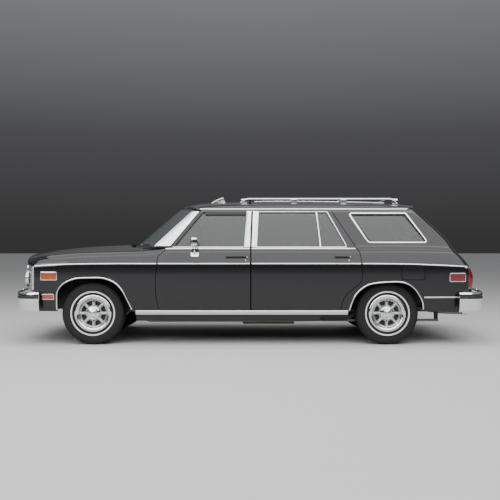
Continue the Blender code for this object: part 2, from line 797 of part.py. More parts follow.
# Quarter panels, which wrap round the tail's corners to the tailgate
QUARTER_FOOT_Z = 0.342
QUARTER_STATIONS = 6
QUARTER_GLASS_SHARES = (0.02, 0.16, 0.33, 0.52, 0.70, 0.86, 1.0)
QUARTER_INNER_Y = 0.560
QUARTER_TOP_Z = RAIL_Z - SEAT_GAP


def quarter_rows():
    """Rows round the quarter: along the side, round the corner and in towards the tailgate."""
    lines = list(range(len(side_section(BODY_TAIL_X)) - 1))
    heights = [between(BELT_Z, RAIL_Z, share) for share in QUARTER_GLASS_SHARES]

    def point(x, line):
        """Half width and height of a line of the side at x."""
        if line < len(lines):
            return side_section(x)[line]
        z = heights[line - len(lines)]
        return glass_y(x, z), z

    ends = []
    for line in range(len(lines) + len(heights)):
        x = BODY_TAIL_X
        for _ in range(SETTLING_STEPS):
            x = corner_x(point(x, line)[1])
        ends.append(x)
    start = REAR_FOOT_X - OVERRUN
    rows = []
    for i in range(QUARTER_STATIONS + 1):
        row = []
        for line, end in enumerate(ends):
            x = between(start, end, i / QUARTER_STATIONS)
            y, z = point(x, line)
            row.append((x, -y, z))
        rows.append(row)
    for share in TAIL_CORNER_SHARES:
        row = []
        for line, end in enumerate(ends):
            y, z = point(end, line)
            turn = share * math.pi / 2
            x = end + TAIL_CORNER * math.sin(turn)
            row.append((x, -(y - TAIL_CORNER * (1 - math.cos(turn))), z))
        rows.append(row)
    for share in (0.4, 1.0):
        row = []
        for line, end in enumerate(ends):
            y, z = point(end, line)
            y = between(y - TAIL_CORNER, QUARTER_INNER_Y, share)
            row.append((tail_surface_x(y, z), -y, z))
        rows.append(row)
    return rows


def quarter_front_outline():
    """What the quarter keeps of its surface in side view: all that lies behind the rear door."""
    edge = rear_door_edge(PANEL_GAP)
    tail = BODY_TAIL_X + OVERRUN
    foot = [(edge[-1][0], QUARTER_FOOT_Z), (tail, QUARTER_FOOT_Z)]
    return [(edge[0][0], QUARTER_TOP_Z)] + edge[1:-1] + foot + [(tail, QUARTER_TOP_Z)]


# Tailgate, as (half width, height) up its side
TAILGATE_FOOT_Z = 0.585
TAILGATE_TOP_GAP = 0.007
TAILGATE_TOP_Z = RAIL_Z - TAILGATE_TOP_GAP
TAILGATE_WALL = 0.040
TAIL_HINGE_Y = 0.300
TAIL_HINGE_IN = 0.040
TAIL_HINGE_LENGTH = 0.036
TAIL_HINGE_WIDTH = 0.080
TAIL_HINGE_DEPTH = 0.022
TAILGATE_SIDE_SHARES = (
    (0.82271762, 0.42086331), (0.83864119, 0.50359712), (0.83333333, 0.5971223), (0.79087049, 0.70863309), (0.71125265, 0.99496403),
)
TAILGATE_SIDES = sized(TAILGATE_SIDE_SHARES, HALF_WIDTH, RAIL_Z)
TAILGATE_ACROSS = 10
TAILGATE_UP_SHARES = (0.0, 0.10, 0.22, 0.34, 0.44, 0.52, 0.64, 0.76, 0.88, 1.0)
TAIL_WINDOW_FOOT_HALF = 0.660
TAIL_WINDOW_TOP_HALF = 0.592
TAIL_WINDOW_FOOT_Z = 1.040
TAIL_WINDOW_TOP_Z = 1.320
TAIL_WINDOW_CORNER = 0.045


def tailgate_half(z):
    return along(z, [side[1] for side in TAILGATE_SIDES], [side[0] for side in TAILGATE_SIDES])


def tailgate_opening(gap):
    """The opening round the tailgate seen from behind, as (y, z)."""
    sides = [(half + gap, z) for half, z in TAILGATE_SIDES]
    sides[0] = (sides[0][0], TAILGATE_FOOT_Z - gap)
    sides.append((sides[-1][0], TAILGATE_TOP_Z + OVERRUN))
    return sides + [(-y, z) for y, z in reversed(sides)]


def tail_window(shrink=0.0):
    foot_y, foot_z = TAIL_WINDOW_FOOT_HALF - shrink, TAIL_WINDOW_FOOT_Z + shrink
    top_y, top_z = TAIL_WINDOW_TOP_HALF - shrink, TAIL_WINDOW_TOP_Z - shrink
    loop = [(foot_y, foot_z), (top_y, top_z), (-top_y, top_z), (-foot_y, foot_z)]
    return rounded([(y, z, TAIL_WINDOW_CORNER) for y, z in loop])


def tail_rows(inset=0.0):
    rows = []
    for k in range(TAILGATE_ACROSS + 1):
        share = between(-1, 1, k / TAILGATE_ACROSS)
        row = []
        for up in TAILGATE_UP_SHARES:
            z = between(TAILGATE_FOOT_Z, TAILGATE_TOP_Z, up)
            y = share * tailgate_half(z)
            row.append((tail_surface_x(y, z) - inset, y, z))
        rows.append(row)
    return rows


def build_tailgate():
    gate = wall(loft("tailgate", tail_rows(), PAINT), TAILGATE_WALL)
    cut(gate, cutter("tail_window", tail_window(), TAIL_TOP_X - OVERRUN, BODY_TAIL_X + OVERRUN, "X"))
    glass = wall(loft("tailgate_glass", tail_rows(TAILGATE_WALL * 0.35), GLASS), GLASS_WALL)
    pane = cutter("tail_pane", tail_window(SEAT_GAP), TAIL_TOP_X - OVERRUN, BODY_TAIL_X + OVERRUN, "X")
    keep(glass, pane)
    for side in (-1, 1):
        y = side * TAIL_HINGE_Y
        x = tail_surface_x(y, TAILGATE_TOP_Z) - TAIL_HINGE_IN
        low = (x, y - TAIL_HINGE_WIDTH / 2, TAILGATE_TOP_Z - TAIL_HINGE_DEPTH)
        high = (x + TAIL_HINGE_LENGTH, y + TAIL_HINGE_WIDTH / 2, RAIL_Z - SEAT_GAP)
        join(gate, box("tail_hinge", low, high, None, CUTTERS))
    hinge = (tail_surface_x(0, TAILGATE_TOP_Z), 0, TAILGATE_TOP_Z)
    on_joint("tailgate", hinge, gate, glass)


# Fuel filler door in the left quarter
FUEL_DOOR_X = 1.653
FUEL_DOOR_Z = 0.742
FUEL_DOOR_LENGTH = 0.232
FUEL_DOOR_HEIGHT = 0.142
FUEL_DOOR_CORNER = 0.024
FUEL_POCKET_DEPTH = 0.024
FUEL_DOOR_WALL = 0.010
FUEL_HINGE_BACK = 0.014
FUEL_HINGE_INSET = 0.004
FUEL_POCKET_CORNER = 0.020
FUEL_PIN = 0.0034
FUEL_PIN_LENGTH = FUEL_DOOR_HEIGHT + 2 * PANEL_GAP - 5 * SEAT_GAP


def fuel_door_outline(grow=0.0, corner=FUEL_DOOR_CORNER):
    half_x = FUEL_DOOR_LENGTH / 2 + grow
    half_z = FUEL_DOOR_HEIGHT / 2 + grow
    corners = []
    for a, b in ((-1, -1), (1, -1), (1, 1), (-1, 1)):
        corners.append((FUEL_DOOR_X + a * half_x, FUEL_DOOR_Z + b * half_z, corner))
    return rounded(corners)


# Tail lamps, upright at the body's corners
TAIL_LAMP_FOOT_Z = 0.580
TAIL_LAMP_TOP_Z = 0.792
TAIL_LAMP_INNER_Y = 0.802
TAIL_LAMP_FRONT_X = 2.222
TAIL_LAMP_WALL = 0.024


def lamp_opening(name, gap):
    """Block round a tail lamp, grown by a gap."""
    low = (TAIL_LAMP_FRONT_X - gap, -HALF_WIDTH - OVERRUN, TAIL_LAMP_FOOT_Z - gap)
    high = (BODY_TAIL_X + OVERRUN, -TAIL_LAMP_INNER_Y + gap, TAIL_LAMP_TOP_Z + gap)
    return box(name, low, high, None, CUTTERS)


def build_quarters():
    outline = cutter("quarter_outline", quarter_front_outline(), FAR_OUT, SIDE_IN)
    arch = cutter("rear_arch", rear_arch(), FAR_OUT, SIDE_IN)
    window = cutter("quarter_window", quarter_window(), FAR_OUT, SIDE_IN)
    reach = (TAIL_TOP_X - OVERRUN, BODY_TAIL_X + OVERRUN)
    gate = cutter("tailgate_gap", tailgate_opening(PANEL_GAP * 1.2), *reach, "X")
    quarter = wall(loft("quarter_left", quarter_rows(), PAINT), QUARTER_WALL)
    cut(keep(quarter, outline), arch, window, gate, lamp_opening("lamp_opening", SEAT_GAP))
    other_side(quarter, "quarter_right")
    pocket_y = FUEL_POCKET_DEPTH - side_y(FUEL_DOOR_X, FUEL_DOOR_Z)
    cut(quarter, cutter("fuel_pocket", fuel_door_outline(PANEL_GAP, FUEL_POCKET_CORNER), FAR_OUT, pocket_y))
    lid = loft("fuel_door", side_rows(FUEL_DOOR_X - OVERRUN, FUEL_DOOR_X + OVERRUN, DOOR_STATIONS), PAINT)
    keep(wall(lid, FUEL_DOOR_WALL), cutter("fuel_door_outline", fuel_door_outline(), FAR_OUT, SIDE_IN))
    hinge_y = FUEL_HINGE_INSET - side_y(FUEL_DOOR_X, FUEL_DOOR_Z)
    hinge = (FUEL_DOOR_X - FUEL_DOOR_LENGTH / 2 + FUEL_HINGE_BACK, hinge_y, FUEL_DOOR_Z)
    join(lid, cylinder("fuel_pin", hinge, FUEL_PIN, FUEL_PIN_LENGTH, "Z", None, CUTTERS, 12))
    on_joint("fuel_door", hinge, lid)
    glass = side_glass("quarter_glass_left", DOOR_REAR_X, TAIL_TOP_X + OVERRUN, quarter_window(SEAT_GAP))
    other_side(glass, "quarter_glass_right")
    lamp = wall(loft("tail_lamp_left", quarter_rows(), RED_LENS), TAIL_LAMP_WALL)
    keep(lamp, lamp_opening("lamp_block", 0.0))
    other_side(lamp, "tail_lamp_right")


# Roof: across, shares of the half width at the rail and of the crown above the rail
ROOF_SECTION_SHARES = (
    (1.012, 0.00), (0.985, 0.28), (0.93, 0.50), (0.83, 0.68), (0.66, 0.83), (0.40, 0.95), (0.00, 1.00),
)
ROOF_CROWN_SHARES = (0.42, 0.72, 0.88, 1.00, 1.00, 0.93, 0.80, 0.58)
ROOF_STATION_SHARES = (0.00, 0.06, 0.14, 0.35, 0.55, 0.75, 0.90, 1.00)
ROOF_FRONT_X = -0.755
ROOF_FRONT_SIDE_X = -0.560
ROOF_REAR_GAP = 0.012
ROOF_FOOT_DROP = 0.030


def roof_point(t, width_share, crown_share, lift=0.0):
    """A point of the roof, t being the share of the way from its front edge to its rear edge."""
    front = between(ROOF_FRONT_X, ROOF_FRONT_SIDE_X, width_share**2)
    rear = tail_surface_x(RAIL_Y * min(1.0, width_share) - PLAN_INSET * 0.2, RAIL_Z) - ROOF_REAR_GAP
    x = between(front, rear, t)
    crown = (ROOF_Z - RAIL_Z) * along(t, ROOF_STATION_SHARES, ROOF_CROWN_SHARES)
    return x, glass_y(x, RAIL_Z) * width_share, RAIL_Z + lift + crown * crown_share


def roof_rows(lift=0.0):
    rows = []
    for t in ROOF_STATION_SHARES:
        half = [roof_point(t, width, crown, lift) for width, crown in ROOF_SECTION_SHARES]
        rows.append([(x, -y, z) for x, y, z in half] + list(reversed(half[:-1])))
    return rows


def build_roof():
    rows = roof_rows()
    rows.append([(x, y, RAIL_Z - ROOF_FOOT_DROP) for x, y, z in rows[-1]])
    roof = wall(loft("roof", rows, PAINT), ROOF_WALL)
    low = (ROOF_FRONT_X - OVERRUN, -HALF_WIDTH, RAIL_Z - OVERRUN)
    cut(roof, box("roof_foot", low, (BODY_TAIL_X, HALF_WIDTH, RAIL_Z), None, CUTTERS))


# Roof rack and wind deflector
RACK_HALF = 0.550
RACK_FRONT_X = -0.085
RACK_REAR_X = 1.560
RACK_RISE = 0.017
RACK_TOP_Z = ROOF_Z + RACK_RISE
RACK_BAR_WIDTH = 0.022
RACK_CROSS_SHARES = (0.05, 0.35, 0.65, 0.95)
RACK_POST_SHARES = (0.0, 0.33, 0.66, 1.0)
RACK_POST_WIDTH = 0.045
DEFLECTOR_HALF = 0.500
DEFLECTOR_FRONT_X = -0.445
DEFLECTOR_REAR_X = -0.297
DEFLECTOR_SINK = 0.038
DEFLECTOR_RISE = 0.041
DEFLECTOR_FOOT_Z = ROOF_Z - DEFLECTOR_SINK
DEFLECTOR_TOP_Z = ROOF_Z + DEFLECTOR_RISE
DEFLECTOR_SHARES = ((0.0, 0.0), (0.16891892, 0.30379747), (0.91216216, 1.0), (1.0, 0.93670886), (0.67567568, 0.2278481))


def build_roof_fittings():
    low_z = ROOF_Z - RACK_BAR_WIDTH * 3
    rack = box("roof_rack", (RACK_FRONT_X, -RACK_HALF - RACK_BAR_WIDTH / 2, RACK_TOP_Z - RACK_BAR_WIDTH),
               (RACK_REAR_X, -RACK_HALF + RACK_BAR_WIDTH / 2, RACK_TOP_Z), CHROME)
    pieces = [box("rack_rail", (RACK_FRONT_X, RACK_HALF - RACK_BAR_WIDTH / 2, RACK_TOP_Z - RACK_BAR_WIDTH),
                  (RACK_REAR_X, RACK_HALF + RACK_BAR_WIDTH / 2, RACK_TOP_Z), None, CUTTERS)]
    for share in RACK_CROSS_SHARES:
        x = between(RACK_FRONT_X, RACK_REAR_X, share)
        pieces.append(box("rack_cross", (x - RACK_BAR_WIDTH / 2, -RACK_HALF, RACK_TOP_Z - RACK_BAR_WIDTH * 0.6),
                          (x + RACK_BAR_WIDTH / 2, RACK_HALF, RACK_TOP_Z - RACK_BAR_WIDTH * 0.1), None, CUTTERS))
    for share in RACK_POST_SHARES:
        x = between(RACK_FRONT_X + RACK_POST_WIDTH / 2, RACK_REAR_X - RACK_POST_WIDTH / 2, share)
        for side in (-1, 1):
            y = side * RACK_HALF
            pieces.append(box("rack_post", (x - RACK_POST_WIDTH / 2, y - RACK_BAR_WIDTH * 0.45, low_z),
                              (x + RACK_POST_WIDTH / 2, y + RACK_BAR_WIDTH * 0.45, RACK_TOP_Z - RACK_BAR_WIDTH / 2), None, CUTTERS))
    join(rack, *pieces)
    bed = wall(loft("roof_bed", roof_rows(SEAT_GAP), None, CUTTERS), RACK_POST_WIDTH * 2)
    cut(rack, bed)
    outline = placed(DEFLECTOR_SHARES, DEFLECTOR_FRONT_X, DEFLECTOR_REAR_X, DEFLECTOR_FOOT_Z, DEFLECTOR_TOP_Z)
    deflector = plate("roof_deflector", outline, -DEFLECTOR_HALF, DEFLECTOR_HALF, "Y", CHROME)
    cut(deflector, bed)


# Windscreen surface: half width, x at the middle and the side, z at the middle and the side
SCREEN_FOOT_HALF = 0.822
SCREEN_FOOT_MIDDLE_X = -1.245
SCREEN_FOOT_SIDE_X = -1.000
SCREEN_FOOT_MIDDLE_Z = 1.000
SCREEN_FOOT_SIDE_Z = 0.998
SCREEN_TOP_HALF = 0.668
SCREEN_TOP_MIDDLE_X = -0.768
SCREEN_TOP_SIDE_X = -0.622
SCREEN_TOP_MIDDLE_Z = 1.412
SCREEN_TOP_SIDE_Z = 1.362
SCREEN_BOW_POWER = 2.2
SCREEN_ACROSS = 12
SCREEN_UP = 4
SCREEN_EDGE_SHARE = 0.012


def screen_point(share, t):
    """A point of the windscreen at a share of its half width, t being the way up from its foot."""
    half = between(SCREEN_FOOT_HALF, SCREEN_TOP_HALF, t)
    bend = abs(share) ** SCREEN_BOW_POWER
    foot_x = between(SCREEN_FOOT_MIDDLE_X, SCREEN_FOOT_SIDE_X, bend)
    top_x = between(SCREEN_TOP_MIDDLE_X, SCREEN_TOP_SIDE_X, bend)
    foot_z = between(SCREEN_FOOT_MIDDLE_Z, SCREEN_FOOT_SIDE_Z, bend)
    top_z = between(SCREEN_TOP_MIDDLE_Z, SCREEN_TOP_SIDE_Z, bend)
    return Vector((between(foot_x, top_x, t), share * half, between(foot_z, top_z, t)))


def build_windscreen():
    rows = []
    for k in range(SCREEN_ACROSS + 1):
        share = between(1, -1, k / SCREEN_ACROSS)
        ups = [between(SCREEN_EDGE_SHARE, 1 - SCREEN_EDGE_SHARE, i / SCREEN_UP) for i in range(SCREEN_UP + 1)]
        rows.append([screen_point(share, t) for t in ups])
    wall(loft("windscreen", rows, GLASS), GLASS_WALL)


# Windscreen frame: cowl, pillars and header in one ring
PILLAR_DEPTH = 0.045
PILLAR_GLASS_GAP = 0.0006
COWL_DEPTH = 0.055
COWL_REAR_X = -0.990
COWL_GAP = 0.018
COWL_INSET = 0.022
COWL_HALF = SCREEN_FOOT_HALF - COWL_INSET
HEADER_DEPTH = 0.028
HEADER_LENGTH = 0.038
PILLAR_FOOT_SHARE = 0.002
PILLAR_TOP_SHARE = 1.03
COWL_TRIM_X = -1.500
COWL_TRIM_Z = 0.9975
PILLAR_ROOT_FRONT_X = -0.992
PILLAR_ROOT_REAR_X = -0.964
PILLAR_ROOT_INNER_Y = 0.745
PILLAR_ROOT_OUTER_Y = 0.800
PILLAR_ROOT_LOW_Z = 0.950
PILLAR_ROOT_TOP_Z = 1.000
HOOD_REAR_HALF = 0.700


def hood_rear_x(share):
    return between(HOOD_REAR_X, HOOD_REAR_SIDE_X, min(1.0, abs(share)) ** SCREEN_BOW_POWER)


def pillar_sections(side):
    sections = []
    for up in (PILLAR_FOOT_SHARE, 0.5, PILLAR_TOP_SHARE):
        edge = screen_point(1.0, up)
        z = edge.z
        door_x = pillar_x(z) - PILLAR_DOOR_GAP
        outer = glass_y(door_x, z)
        glass_side = edge.y + PILLAR_GLASS_GAP
        points = [
            (edge.x, glass_side, z),
            (between(edge.x, door_x, 0.45), between(glass_side, outer, 0.72), z),
            (door_x, outer, z),
            (door_x, outer - PILLAR_DEPTH, z),
            (edge.x + PILLAR_DEPTH * 0.8, edge.y - PILLAR_DEPTH * 0.9, z),
            (edge.x + PILLAR_DEPTH * 0.4, edge.y - PILLAR_DEPTH * 0.1, z),
        ]
        sections.append([(x, side * y, z) for x, y, z in points])
    return sections


PILLAR_DOOR_GAP = 0.0085


def build_windscreen_frame():
    rows = []
    for k in range(SCREEN_ACROSS + 1):
        share = between(-1, 1, k / SCREEN_ACROSS)
        foot = screen_point(share, 0.0)
        y = share * COWL_HALF
        front = hood_rear_x(y / HOOD_REAR_HALF) + COWL_GAP
        rear = COWL_REAR_X
        top = foot.z
        fore = top - COWL_DEPTH * 0.3
        rows.append([(front, y, fore), (foot.x - GLASS_WALL, y, top), (rear, y, top),
                     (rear, y, top - COWL_DEPTH), (front, y, top - COWL_DEPTH)])
    frame = loft("windscreen_frame", rows, PAINT, PARTS, closed=True)
    pillars = [loft("pillar", pillar_sections(side), None, CUTTERS, closed=True) for side in (-1, 1)]
    rows = []
    for k in range(SCREEN_ACROSS + 1):
        share = between(-1, 1, k / SCREEN_ACROSS)
        edge = screen_point(share, 1.0)
        width = min(1.0, abs(edge.y) / RAIL_Y)
        crowns = [crown for _, crown in reversed(ROOF_SECTION_SHARES)]
        widths = [width_share for width_share, _ in reversed(ROOF_SECTION_SHARES)]
        front = Vector(roof_point(0.0, width, along(width, widths, crowns)))
        under = front.z - ROOF_WALL - PILLAR_GLASS_GAP
        rows.append([(edge.x, edge.y, edge.z), (front.x - PANEL_GAP, edge.y, min(under, front.z)),
                     (front.x + HEADER_LENGTH, edge.y, under), (front.x + HEADER_LENGTH, edge.y, under - HEADER_DEPTH),
                     (edge.x + HEADER_DEPTH, edge.y, edge.z - HEADER_DEPTH)])
    join(frame, *pillars, loft("header", rows, None, CUTTERS, closed=True))
    for side in (-1, 1):
        ys = sorted((side * PILLAR_ROOT_INNER_Y, side * PILLAR_ROOT_OUTER_Y))
        low = (PILLAR_ROOT_FRONT_X, ys[0], PILLAR_ROOT_LOW_Z)
        join(frame, box("pillar_root", low, (PILLAR_ROOT_REAR_X, ys[1], PILLAR_ROOT_TOP_Z), None, CUTTERS))
        line = [(x, side * (fender_edge(x)[0] - PANEL_GAP)) for x in BAY_XS if x > COWL_TRIM_X]
        outward = [(line[-1][0], side * (HALF_WIDTH + OVERRUN)), (line[0][0], side * (HALF_WIDTH + OVERRUN))]
        cut(frame, cutter("cowl_trim", line + outward, BAY_FOOT_Z, COWL_TRIM_Z, "Z"))


# Hood and nose
HOOD_FRONT_X = -2.190
HOOD_FRONT_SIDE_X = -2.100
HOOD_REAR_X = -1.335
HOOD_REAR_SIDE_X = -1.142
HOOD_SIDE_GAP = 0.007
HOOD_ROWS = 8
HOOD_SECTION_SHARES = (
    (1.00, 0.00), (0.90, 0.25), (0.62, 0.45), (0.52, 0.72), (0.30, 0.93), (0.00, 1.00),
)
HOOD_CROWN_FRONT = 0.030
HOOD_CROWN_REAR = 0.046
HOOD_BOW_HALF = 0.760
HOOD_HINGE_AHEAD = 0.012
HOOD_HINGE_X = HOOD_REAR_SIDE_X - HOOD_HINGE_AHEAD
HOOD_HINGE_SHARE = 0.30
HOOD_PIN = 0.005
HOOD_PIN_LENGTH = 0.040


def hood_front_x(y):
    """Where the hood ends at half width y, ahead of which the nose panel begins."""
    return between(HOOD_FRONT_X, HOOD_FRONT_SIDE_X, min(1.0, abs(y) / HOOD_BOW_HALF) ** 2)


def hood_point(t, width_share, crown_share):
    front = hood_front_x(fender_edge(HOOD_FRONT_SIDE_X)[0] * width_share)
    x = between(front, hood_rear_x(width_share), t)
    half, z = fender_edge(min(x, HOOD_REAR_SIDE_X))
    crown = between(HOOD_CROWN_FRONT, HOOD_CROWN_REAR, t)
    return x, (half - HOOD_SIDE_GAP) * width_share, z + crown * crown_share


def build_hood():
    rows = []
    for i in range(HOOD_ROWS + 1):
        half = [hood_point(i / HOOD_ROWS, width, crown) for width, crown in HOOD_SECTION_SHARES]
        rows.append([(x, -y, z) for x, y, z in half] + list(reversed(half[:-1])))
    hood = wall(loft("hood", rows, PAINT), HOOD_WALL)
    half, edge_z = fender_edge(HOOD_HINGE_X)
    hinge = (HOOD_HINGE_X, 0, edge_z - HOOD_WALL * HOOD_HINGE_SHARE)
    for side in (-1, 1):
        middle = (hinge[0], side * (half - HOOD_PIN_LENGTH / 2 - SEAT_GAP), hinge[2])
        join(hood, cylinder("hood_pin", middle, HOOD_PIN, HOOD_PIN_LENGTH, "Y", None, CUTTERS, 12))
    on_joint("hood", hinge, hood)


# Front end, swept across the front: how far it stands ahead of its corners at a share of its half width
NOSE_HALF = 0.880
NOSE_BOW = 0.165
NOSE_CORNER = 0.040
NOSE_CORNER_SHARE = 0.90
NOSE_LIP_Z = 0.802
NOSE_ACROSS = 14
NOSE_WALL = 0.020
NOSE_SEAM = 0.0008
NOSE_LIP_SHARES = ((0.05, 0.00), (-0.02, 0.22), (0.04, 0.70), (0.30, 0.94), (1.00, 1.00))


def front_x(y):
    """Where the front end stands at half width y."""
    share = min(1.0, abs(y) / NOSE_HALF)
    past = max(0.0, (share - NOSE_CORNER_SHARE) / (1 - NOSE_CORNER_SHARE))
    return BODY_NOSE_X - NOSE_BOW * (1 - share**2) + NOSE_CORNER * (1 - math.sqrt(1 - past**2))


def build_nose():
    rows = []
    for k in range(NOSE_ACROSS + 1):
        share = between(1, -1, k / NOSE_ACROSS)
        y = share * NOSE_HALF
        ahead = front_x(y)
        back = hood_front_x(y) - PANEL_GAP
        half, edge_z = fender_edge(FENDER_FRONT_X)
        top = along(abs(y), [0, half, side_section(FENDER_FRONT_X)[-3][0], NOSE_HALF],
                    [edge_z + HOOD_CROWN_FRONT, edge_z, side_section(FENDER_FRONT_X)[-3][1],
                     side_section(FENDER_FRONT_X)[-5][1]])
        rows.append([(between(ahead, back, run), y, between(NOSE_LIP_Z, top, rise)) for run, rise in NOSE_LIP_SHARES])
    nose = wall(loft("nose_panel", rows, PAINT), NOSE_WALL)
    for side in (-1, 1):
        near_x = FENDER_FRONT_X - NOSE_SEAM
        far_x = FENDER_FRONT_X + OVERRUN
        notch = [(near_x, side * (fender_edge(FENDER_FRONT_X)[0] - NOSE_SEAM)),
                 (far_x, side * (fender_edge(far_x)[0] - NOSE_SEAM)),
                 (far_x, side * (HALF_WIDTH + OVERRUN)), (near_x, side * (HALF_WIDTH + OVERRUN))]
        cut(nose, cutter("nose_notch", notch, 0, ROOF_Z, "Z"))


# Grille and headlamps below the nose panel
FACE_FOOT_Z = 0.560
FACE_TOP_Z = NOSE_LIP_Z - NOSE_SEAM
GRILLE_HALF = 0.500
GRILLE_DEPTH = 0.045
GRILLE_SLOTS = 13
GRILLE_FRAME = 0.022
GRILLE_BAR_SHARE = 0.30
LAMP_GAP = 0.004
HEADLAMP_DEPTH = 0.070
HEADLAMP_STEPS = 6
HEADLAMP_BOWL_RADIUS = 0.082
HEADLAMP_BOWL_DEPTH = 0.022


def face_block(name, low_y, high_y, depth, steps, finish):
    """A block across part of the front between the bumper and the nose panel."""
    rows = []
    for k in range(steps + 1):
        y = between(low_y, high_y, k / steps)
        x = front_x(y)
        rows.append([(x + PANEL_GAP, y, FACE_TOP_Z), (x + PANEL_GAP + depth, y, FACE_TOP_Z),
                     (x + PANEL_GAP + depth, y, FACE_FOOT_Z), (x + PANEL_GAP, y, FACE_FOOT_Z)])
    return loft(name, rows, finish, PARTS, closed=True)


def build_face():
    grille = face_block("grille", -GRILLE_HALF, GRILLE_HALF, GRILLE_DEPTH, NOSE_ACROSS, CHROME)
    pitch = (2 * GRILLE_HALF - GRILLE_FRAME) / GRILLE_SLOTS
    for k in range(GRILLE_SLOTS):
        low = GRILLE_FRAME - GRILLE_HALF + pitch * k
        high = low + pitch * (1 - GRILLE_BAR_SHARE)
        far_low = (BODY_NOSE_X - OVERRUN * 2, low, FACE_FOOT_Z + GRILLE_FRAME)
        far_high = (BODY_NOSE_X + OVERRUN * 2, high, FACE_TOP_Z - GRILLE_FRAME)
        cut(grille, box("grille_slot", far_low, far_high, None, CUTTERS))
    lamp = face_block("headlamp_left", -NOSE_HALF, -GRILLE_HALF - LAMP_GAP, HEADLAMP_DEPTH, HEADLAMP_STEPS, CHROME)
    for y in (HEADLAMP_OUTER_Y, HEADLAMP_INNER_Y):
        x = front_x(y) + PANEL_GAP
        place = (x, -y, HEADLAMP_Z)
        depth = HEADLAMP_BOWL_DEPTH * 2
        cut(lamp, cylinder("lamp_bowl", place, HEADLAMP_BOWL_RADIUS, depth, "X", None, CUTTERS))
    low = (FENDER_FRONT_X - PANEL_GAP, -HALF_WIDTH, 0)
    cut(lamp, box("fender_clearance", low, (0, -HEADLAMP_REAR_Y, ROOF_Z), None, CUTTERS))
    other_side(lamp, "headlamp_right")


HEADLAMP_OUTER_Y = 0.780
HEADLAMP_INNER_Y = 0.600
HEADLAMP_Z = 0.682
HEADLAMP_REAR_Y = 0.830


# Bumpers, swept round the ends: plan as shares of the half length and half width, section as shares of
# the depth and of the rise
BUMPER_DEPTH = 0.044
BUMPER_FOOT_Z = 0.340
BUMPER_TOP_Z = 0.545
BUMPER_SECTION_SHARES = (
    (0.0, 0.92682927), (0.36363636, 1.0), (0.86363636, 0.96585366), (1.0, 0.7804878), (0.81818182, 0.43902439),
    (0.40909091, 0.10731707), (0.09090909, 0.0), (-0.22727273, 0.02926829), (0.22727273, 0.43902439), (0.36363636, 0.7804878),
)
FRONT_BUMPER_SHARES = (
    (-0.86234818, 0.97452229), (-0.89676113, 0.97239915), (-0.92105263, 0.95541401), (-0.93724696, 0.91825902),
    (-0.94939271, 0.8492569), (-0.96153846, 0.72186837), (-0.97165992, 0.50955414), (-0.97894737, 0.26539278),
    (-0.98218623, 0.0),
)
REAR_BUMPER_SHARES = (
    (0.85425101, 0.98726115), (0.90080972, 0.98301486), (0.92510121, 0.96390658), (0.94008097, 0.92356688),
    (0.951417, 0.83864119), (0.96275304, 0.70063694), (0.97246964, 0.49893843), (0.97935223, 0.25477707),
    (0.98218623, 0.0),
)


def bumper(name, plan):
    left = [Vector((x, -y)) for x, y in plan]
    right = [Vector((x, y)) for x, y in reversed(plan[:-1])]
    line = left + right
    if plan[-1][0] > 0:
        line.reverse()
    points = [tuple(point) for point in line]
    rows = []
    for out, z in placed(BUMPER_SECTION_SHARES, 0, BUMPER_DEPTH, BUMPER_FOOT_Z, BUMPER_TOP_Z):
        rows.append([(x, y, z) for x, y in shifted(points, out)])
    sections = [list(section) for section in zip(*rows)]
    return loft(name, sections, CHROME, PARTS, closed=True)


def build_bumpers():
    for name, shares, rest_x in (
        ("bumper_front", FRONT_BUMPER_SHARES, FRONT_BEAM_X - SEAT_GAP),
        ("bumper_rear", REAR_BUMPER_SHARES, FLOOR_REAR_X + FLOOR_WALL + SEAT_GAP),
    ):
        plan = sized(shares, OVERALL_HALF_LENGTH, HALF_WIDTH)
        made = bumper(name, plan)
        end_x = along(-BRACKET_Y, [-y for _, y in plan], [x for x, _ in plan])
        end_x += math.copysign(BRACKET_OVERLAP, end_x)
        for side in (-1, 1):
            y = side * BRACKET_Y
            low = (min(end_x, rest_x), y - BRACKET / 2, BRACKET_Z - BRACKET / 2)
            high = (max(end_x, rest_x), y + BRACKET / 2, BRACKET_Z + BRACKET / 2)
            join(made, box("bracket", low, high, None, CUTTERS))


BRACKET = 0.044
BRACKET_Y = 0.400
BRACKET_Z = 0.430
BRACKET_OVERLAP = 0.022


# Structure below and behind the panels
FLOOR_Z = 0.262
FLOOR_WALL = 0.014
SILL_REAR_X = 1.000
SILL_FRONT_X = -1.160
SILL_WALL = 0.055
SILL_GAP = 0.006
FIREWALL_X = -1.030
FIREWALL_WALL = 0.030
COWL_FOOT_Z = SCREEN_FOOT_SIDE_Z - COWL_DEPTH - SEAT_GAP
HINGE_POST_Y = 0.710
LOAD_FLOOR_Z = 0.515
RISER_X = 0.985
WHEELHOUSE_INNER_Y = 0.600
WHEELHOUSE_TOP_Z = 0.705
WHEELHOUSE_FRONT_X = 1.050
WHEELHOUSE_REAR_X = 1.765
WHEELHOUSE_OUTER_Y = 0.880
FLOOR_REAR_X = 2.185


